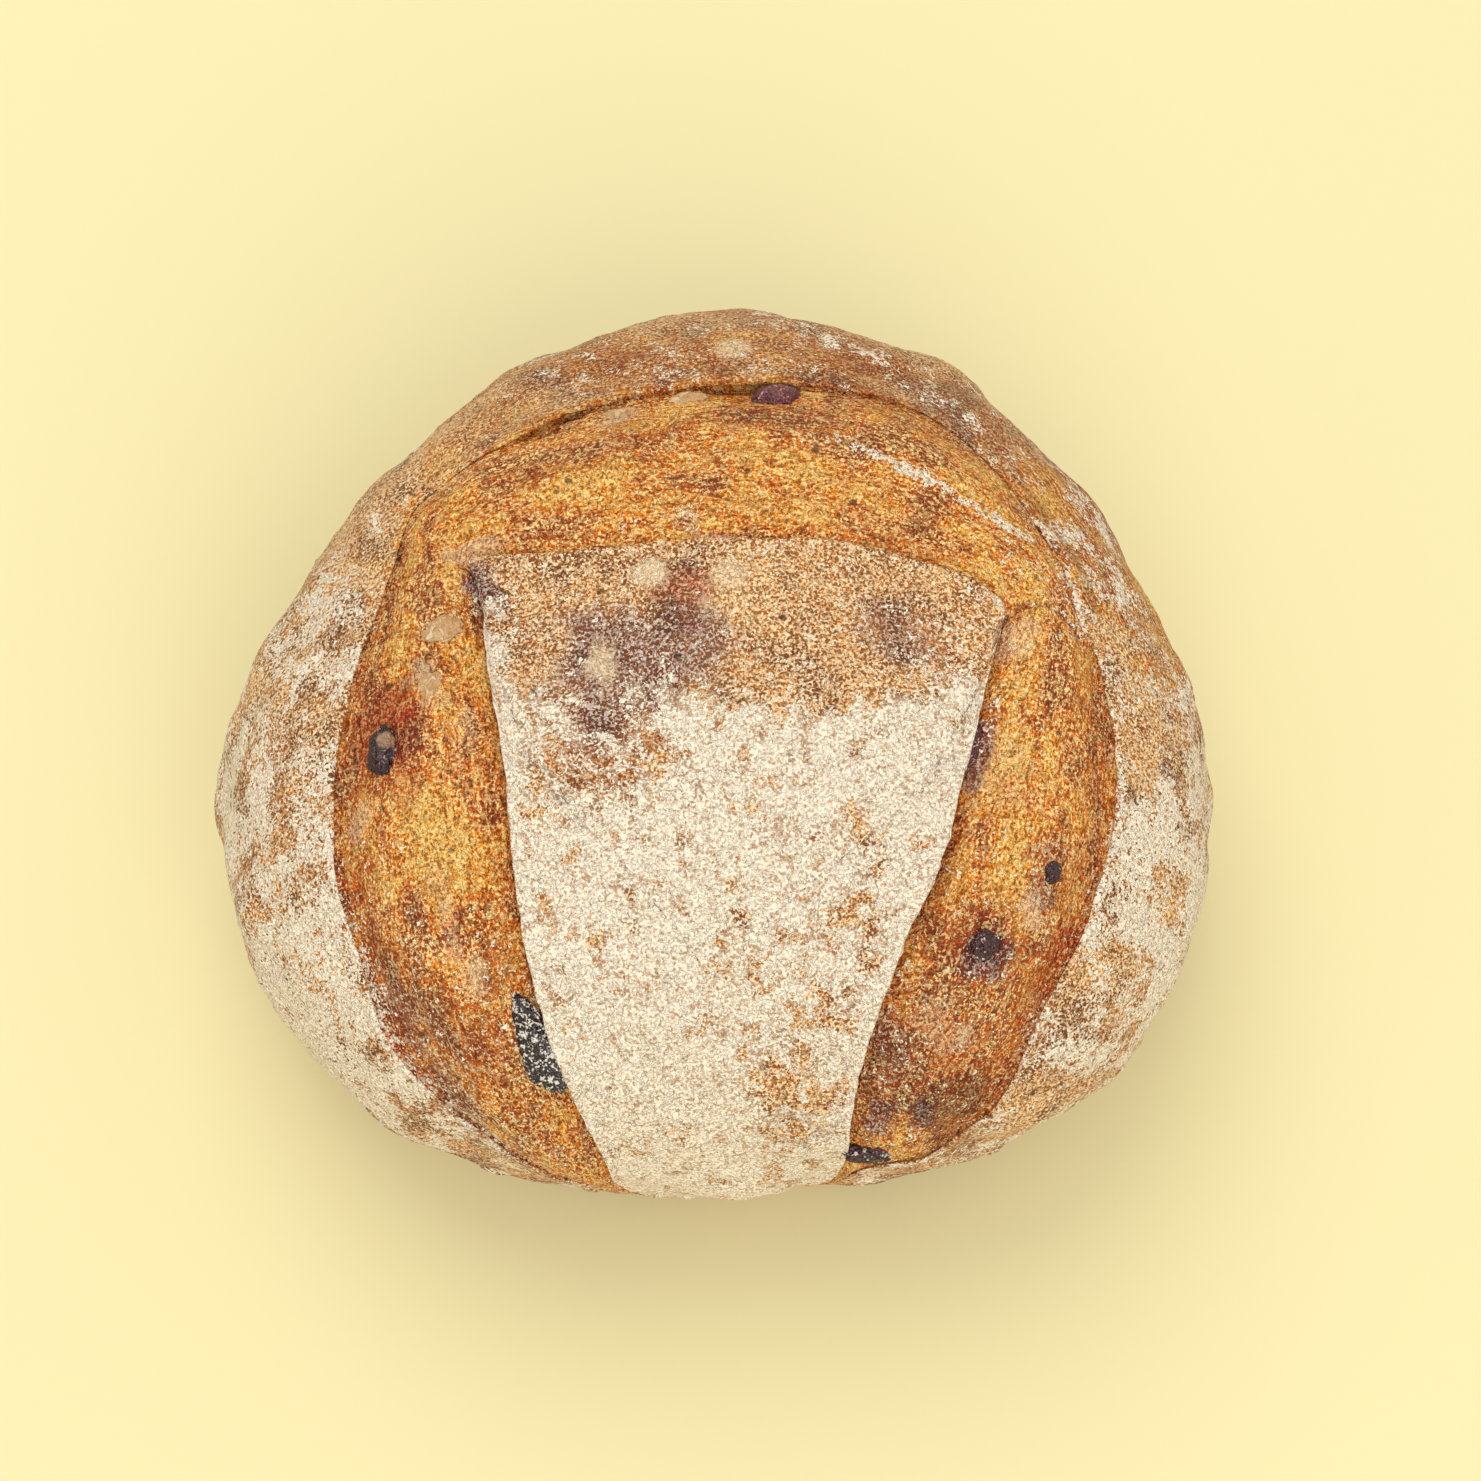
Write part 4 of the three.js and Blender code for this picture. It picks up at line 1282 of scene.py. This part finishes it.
def fruit_material(name, dark, light, flour_amount, roughness, bit=None):
    """Skin of a dried berry or a nut: two tones, fine creases and a dusting of flour."""
    colours = bpy.context.scene.loaf_colours
    material, tree, shader, vector = new_material(name)
    grain = use_group(tree, baked_grain_group(), {"Vector": vector, "Scale": FRUIT_GRAIN})
    base = blended(tree, grain["Height"], dark, light)
    if bit is not None:
        base = blended(tree, speckled(tree, read_mask(tree, "bit"), grain["Specks"]), base, bit)
    dust = {
        "Vector": vector,
        "Amount": flour_amount,
        "High Spots": grain["Ridges"],
        "Grain Scale": FRUIT_FLOUR_GRAIN,
        "Softness": 0.3,
        "Under Color": base,
        "Flour Color": colours.fruit_flour,
        "Shade Color": colours.fruit_shade,
    }
    height = grain["Height"]
    dust_and_bump(tree, shader, dust, roughness, height, FRUIT_GRAIN_HEIGHT, 0.9)
    shader.inputs["Specular IOR Level"].default_value = 0.5
    return material


# Pieces

def mesh_object(name, points, triangles):
    mesh = bpy.data.meshes.new(name)
    mesh.from_pydata((points * MM).tolist(), [], triangles)
    mesh.validate()
    mesh.update()
    mesh.shade_smooth()
    piece = bpy.data.objects.new(name, mesh)
    bpy.context.scene.collection.objects.link(piece)
    return piece


def write_masks(mesh, masks):
    for name, values in masks.items():
        layer = mesh.attributes.new(name, "FLOAT", "POINT")
        layer.data.foreach_set("value", np.asarray(values, np.float32))


# Fruit and nut pieces, as in the part's source: the station beside the piece, its share of
# the way from the flap edge to the outer edge, its rise above the dough, length, width and
# thickness in mm and its turn in degrees. Berries have two more: how floured and how red.
CRANBERRIES = {
    "cranberry_left": (19.81, 0.65, 0.1, 8.4, 5.2, 4.8, 84, 0.06, 0.1),
    "cranberry_front_left": (22.33, 0.1, 0.1, 18.0, 11.0, 6.0, -73, 0.5, 0.0),
    "cranberry_right": (5.52, 0.41, -0.4, 5.2, 4.6, 4.2, 20, 0.2, 0.3),
    "cranberry_small_right": (6.23, 0.61, -0.2, 3.8, 3.2, 3.0, 70, 0.2, 0.2),
    "cranberry_under_ear": (13.46, 0.89, 0.3, 8.4, 5.0, 4.6, 10, 0.12, 1.0),
    "cranberry_flap_edge": (7.4, 0.03, -0.9, 10.0, 3.6, 3.6, 72, 0.3, 0.8),
    "cranberry_front_right": (2.49, 0.36, -0.2, 9.0, 4.4, 3.8, -10, 0.25, 0.2),
}
WALNUTS = {
    "walnut_left_upper": (18.86, 0.38, -1.0, 7.6, 5.0, 3.6, 20),
    "walnut_left_lower": (19.38, 0.41, -1.0, 6.0, 4.6, 3.4, 65),
    "walnut_under_ear": (14.21, 0.92, -0.9, 7.0, 4.0, 3.4, 5),
    "walnut_crown": (14.87, 0.85, -1.0, 8.0, 4.4, 3.4, 20),
}

# Waves round a piece, their depth as in the source, and the depth of finer wrinkles
BERRY_CREASES = (5, 0.07, 0.1)
NUT_CREASES = (4, 0.1, 0.08)

# How much narrower a drop-shaped berry is at one end, as a share of its width
TAPERS = {"cranberry_front_left": 0.65}

# Radius in mm of a pale bit of nut stuck to the upper end of a berry
PALE_BITS = {"cranberry_left": 1.5}
BIT_OFFSET = (0.4, 1.1, 2.0)


def pale_bit(berry, size):
    """1 on a berry's skin inside the bit, fading to 0 round it."""
    places = np.array([vertex.co for vertex in berry.data.vertices])
    if not size:
        return np.zeros(len(places))
    middle = places.mean(axis=0) + np.array(BIT_OFFSET) * MM
    distance = np.linalg.norm(places - middle, axis=1) / (size * MM)
    return 1 - smooth(0.7, 1.3, distance)


def fruit_seat(number, share, rise):
    """Where a piece sits on the dough, and the skin's outward direction there, in mm."""
    cut = Cut(np.array([number]))
    distance = cut.ear * smooth(EAR_REACH, 1, share)
    place = between(cut.flap, cut.outer, share, distance)
    form = form_point(place)
    normal = form_normal(place)
    height = cut.dough_height(share) + rise + relief(form)
    return (form + normal * height)[0], normal[0]


def creased_ball(size, seed, creases, depth, fine, taper):
    """A ball stretched to its size, creased by the source's waves and by finer ones."""
    bpy.ops.mesh.primitive_ico_sphere_add(subdivisions=6, radius=1)
    ball = bpy.context.object
    count = len(ball.data.vertices)
    co = np.zeros(count * 3, np.float32)
    ball.data.vertices.foreach_get("co", co)
    co = co.reshape(-1, 3).astype(float)
    co /= np.linalg.norm(co, axis=1, keepdims=True)
    x, y, z = co.T.copy()
    wave = np.sin(x * creases + seed * 1.7) * np.sin(y * creases + seed)
    wave += 0.6 * np.sin(z * creases * 1.3 + x * 3 + seed * 2.3)
    wrinkle = 1 - 2 * np.abs(noise_at(co, 0.55, seed, 3))
    swell = 1 + depth * wave + fine * (wrinkle - 0.5)
    co *= swell[:, None]
    co[:, 1:] *= (1 - taper * (1 - x) / 2)[:, None]
    co *= np.array(size) / 2 * MM
    ball.data.vertices.foreach_set("co", co.ravel().astype(np.float32))
    ball.data.shade_smooth()
    return ball


def add_fruit(name, row, creases, material):
    number, share, rise, length, width, thickness, turn = row[:7]
    point, normal = fruit_seat(number, share, rise)
    size = (length, width, thickness)
    piece = creased_ball(size, number, *creases, TAPERS.get(name, 0))
    piece.name = name + "_piece"
    upright = Vector((0, 0, 1)).rotation_difference(Vector(normal)).to_matrix().to_4x4()
    turned = Matrix.Rotation(math.radians(turn), 4, "Z")
    piece.data.transform(Matrix.Translation(Vector(point) * MM) @ upright @ turned)
    piece.data.materials.append(material)
    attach(piece, "root")
    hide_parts(name)
    return piece


# What a user can change

class LoafSizes(bpy.types.PropertyGroup):
    """Sizes of the crust's relief."""

    wrinkle_height: FloatProperty(
        name="Wrinkle height",
        description="How high the wrinkles of the floured crust stand",
        default=0.28 * MM,
        unit="LENGTH",
    )
    streak_height: FloatProperty(
        name="Streak height",
        description="How high the torn streaks of the opened dough stand",
        default=0.42 * MM,
        unit="LENGTH",
    )


def colour(name, description, default):
    return FloatVectorProperty(
        name=name, description=description, default=default, subtype="COLOR", size=3,
        min=0.0, max=1.0)


class LoafColours(bpy.types.PropertyGroup):
    """Colours of the crust, the opened dough, the fruit and the floor."""

    flour: colour("Flour", "Thick flour on the crust", (0.96, 0.84, 0.66))
    flour_shade: colour("Flour shade", "Flour where it thins", (0.70, 0.51, 0.33))
    flour_under: colour("Under flour", "Skin seen through thick flour", (0.58, 0.41, 0.27))
    skin_light: colour("Light skin", "Palest baked skin", (0.95, 0.55, 0.21))
    skin_caramel: colour("Caramel skin", "Usual baked skin", (0.78, 0.33, 0.07))
    skin_brown: colour("Brown skin", "Skin in the wrinkles", (0.36, 0.13, 0.032))
    # Partly the skin's own pale specks, partly painted highlight on high specks
    skin_speck_and_highlight: colour("Skin specks", "High specks of the skin", (1.0, 0.75, 0.46))
    # Partly the dough's own pale specks, partly painted highlight on high specks
    dough_pale_and_highlight: colour("Pale dough", "Palest specks of the opened dough", (1.0, 0.72, 0.28))
    dough_bright: colour("Bright dough", "Brightest opened dough", (0.90, 0.44, 0.075))
    dough_gold: colour("Gold dough", "Light opened dough", (0.84, 0.285, 0.014))
    dough_orange: colour("Orange dough", "Usual opened dough", (0.76, 0.18, 0.008))
    dough_brown: colour("Brown dough", "Dark opened dough", (0.44, 0.09, 0.012))
    # Painted shade in the sunken specks
    speck_shade: colour("Dark specks", "Multiplies the sunken specks everywhere", (0.24, 0.16, 0.12))
    # Partly lilac stain, partly painted highlight on high specks
    lilac_speck_and_highlight: colour("Lilac specks", "High specks where fruit has stained the skin", (0.66, 0.55, 0.46))
    # Painted shade inside the pores
    pore_shade: colour("Pores", "Small holes in the skin and the dough", (0.07, 0.022, 0.01))
    # Also darkens the painted shade along the creases and in the groove beside the flap
    brown_and_shade_tint: colour("Brown tint", "Multiplies what has baked longest", (0.57, 0.365, 0.225))
    red_tint: colour("Red tint", "Multiplies the dough round the fruit", (0.58, 0.215, 0.11))
    purple_tint: colour("Purple tint", "Multiplies the skin that fruit has stained", (0.40, 0.255, 0.235))
    pale: colour("Pale spots", "Blisters and nut pieces under the skin", (0.88, 0.67, 0.41))
    berry_dark: colour("Dark berry", "Dried berry in its creases", (0.007, 0.0015, 0.002))
    berry_black: colour("Black berry skin", "High spots of a berry baked black", (0.035, 0.008, 0.009))
    berry_deep: colour("Deep red berry", "Creases of a berry still red", (0.07, 0.012, 0.016))
    berry_red: colour("Red berry skin", "High spots of a berry still red", (0.27, 0.07, 0.07))
    berry_bit: colour("Bit on a berry", "Bit of nut skin stuck to a berry", (0.30, 0.17, 0.09))
    fruit_flour: colour("Flour on fruit", "Flour clinging to the fruit", (0.70, 0.66, 0.56))
    fruit_shade: colour("Thin flour on fruit", "Flour on the fruit where it thins", (0.22, 0.20, 0.19))
    nut: colour("Nut", "Nut flesh", (0.70, 0.50, 0.27))
    nut_brown: colour("Brown nut", "Nut skin", (0.44, 0.22, 0.07))
    floor: colour("Floor", "The pale floor", (0.775, 0.70, 0.39))


# What the buttons make

class MakeStage(bpy.types.Operator):
    """Make the pale floor, the soft lights and the camera"""

    bl_idname = "loaf.make_stage"
    bl_label = "Stage"

    def execute(self, context):
        make_floor()
        make_lights()
        make_camera()
        return {"FINISHED"}


class MakeLoaf(bpy.types.Operator):
    """Make the scored and floured loaf"""

    bl_idname = "loaf.make_loaf"
    bl_label = "Loaf"

    def execute(self, context):
        points, triangles, facts = loaf_mesh_data()
        piece = mesh_object("loaf_crust", points, triangles)
        write_masks(piece.data, crust_masks(points, facts))
        piece.data.materials.append(crust_material())
        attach(piece, "root")
        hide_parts("loaf")
        return {"FINISHED"}


class MakeCranberries(bpy.types.Operator):
    """Make the dried cranberries that show in the opened dough"""

    bl_idname = "loaf.make_cranberries"
    bl_label = "Cranberries"

    def execute(self, context):
        colours = context.scene.loaf_colours
        for name, row in CRANBERRIES.items():
            floured, red = row[7:]
            skin = [mix(*pair, red) for pair in zip(colours.berry_black, colours.berry_red)]
            deep = [mix(*pair, red) for pair in zip(colours.berry_dark, colours.berry_deep)]
            material = fruit_material(
                name + "_skin", deep, skin, floured, 0.22, colours.berry_bit)
            berry = add_fruit(name, row, BERRY_CREASES, material)
            write_masks(berry.data, {"bit": pale_bit(berry, PALE_BITS.get(name, 0))})
        return {"FINISHED"}


class MakeWalnuts(bpy.types.Operator):
    """Make the walnut pieces that show in the opened dough"""

    bl_idname = "loaf.make_walnuts"
    bl_label = "Walnuts"

    def execute(self, context):
        colours = context.scene.loaf_colours
        material = fruit_material(
            "walnut_flesh", colours.nut_brown, colours.nut, 0.1, 0.6)
        for name, row in WALNUTS.items():
            add_fruit(name, row, NUT_CREASES, material)
        return {"FINISHED"}


# Stage

FLOOR_SIZE = 6
CAMERA_ELEVATION = 70
CAMERA_DISTANCE = 548 * MM
LENS = 75
SENSOR = 36

# Where the lights point, and each one's name, place, width, power and colour
LIGHT_TARGET = (0, 0, 0.04)
LIGHTS = [
    ("key", (-0.2, 0.6, 1.1), 1.0, 6.5, (1.0, 0.98, 0.95)),
    ("fill", (0.2, -0.9, 0.8), 1.0, 6.0, (1.0, 0.99, 0.97)),
]
AIR_COLOUR = (1.0, 0.985, 0.95, 1)
AIR_STRENGTH = 0.78

# How far right of and above the widest line's middle the camera looks, across its view
AIM_OFFSET = (4.17 * MM, 3.46 * MM)


def make_floor():
    colours = bpy.context.scene.loaf_colours
    bpy.ops.mesh.primitive_plane_add(size=FLOOR_SIZE)
    floor = bpy.context.object
    floor.name = "floor"
    material, _, shader, _ = new_material("pale_floor")
    shader.inputs["Base Color"].default_value = (*colours.floor, 1)
    shader.inputs["Roughness"].default_value = 0.9
    shader.inputs["Specular IOR Level"].default_value = 0.1
    floor.data.materials.append(material)


def add_area_light(name, place, size, power, colour):
    data = bpy.data.lights.new(name, "AREA")
    data.shape = "DISK"
    data.size = size
    data.energy = power
    data.color = colour
    lamp = bpy.data.objects.new(name, data)
    lamp.location = place
    away = Vector(LIGHT_TARGET) - Vector(place)
    lamp.rotation_euler = away.to_track_quat("-Z", "Y").to_euler()
    bpy.context.scene.collection.objects.link(lamp)


def make_lights():
    scene = bpy.context.scene
    scene.view_settings.view_transform = "Standard"
    world = bpy.data.worlds.new("studio_air")
    scene.world = world
    world.use_nodes = True
    background = world.node_tree.nodes["Background"]
    background.inputs["Color"].default_value = AIR_COLOUR
    background.inputs["Strength"].default_value = AIR_STRENGTH
    for row in LIGHTS:
        add_area_light(*row)


def make_camera():
    scene = bpy.context.scene
    data = bpy.data.cameras.new("camera")
    data.lens = LENS
    data.sensor_width = SENSOR
    camera = bpy.data.objects.new("camera", data)
    scene.collection.objects.link(camera)
    tilt = math.radians(CAMERA_ELEVATION)
    back = Vector((0, -math.cos(tilt), math.sin(tilt)))
    up = Vector((0, math.sin(tilt), math.cos(tilt)))
    middle = Vector((*(CROWN_PLACE * MM), WIDEST_HEIGHT * MM))
    aim = middle + Vector((1, 0, 0)) * AIM_OFFSET[0] + up * AIM_OFFSET[1]
    camera.location = aim + back * CAMERA_DISTANCE
    camera.rotation_euler = (-back).to_track_quat("-Z", "Y").to_euler()
    scene.camera = camera


class LoafPanel(bpy.types.Panel):
    """Lists what this file makes and what can be changed"""

    bl_idname = "VIEW3D_PT_loaf"
    bl_label = "Sourdough Loaf"
    bl_space_type = "VIEW_3D"
    bl_region_type = "UI"
    bl_category = "Loaf"

    def draw(self, context):
        layout = self.layout
        for operator in OPERATORS:
            layout.operator(operator.bl_idname)
        for group in (context.scene.loaf_sizes, context.scene.loaf_colours):
            for name in group.__annotations__:
                layout.prop(group, name)


OPERATORS = (MakeStage, MakeLoaf, MakeCranberries, MakeWalnuts)
CLASSES = (LoafSizes, LoafColours, *OPERATORS, LoafPanel)


def register():
    for one in CLASSES:
        bpy.utils.register_class(one)
    bpy.types.Scene.loaf_sizes = PointerProperty(type=LoafSizes)
    bpy.types.Scene.loaf_colours = PointerProperty(type=LoafColours)


def unregister():
    del bpy.types.Scene.loaf_colours
    del bpy.types.Scene.loaf_sizes
    for one in reversed(CLASSES):
        bpy.utils.unregister_class(one)


def main():
    register()
    bpy.ops.loaf.make_stage()
    bpy.ops.loaf.make_loaf()
    bpy.ops.loaf.make_cranberries()
    bpy.ops.loaf.make_walnuts()


if __name__ == "__main__":
    main()
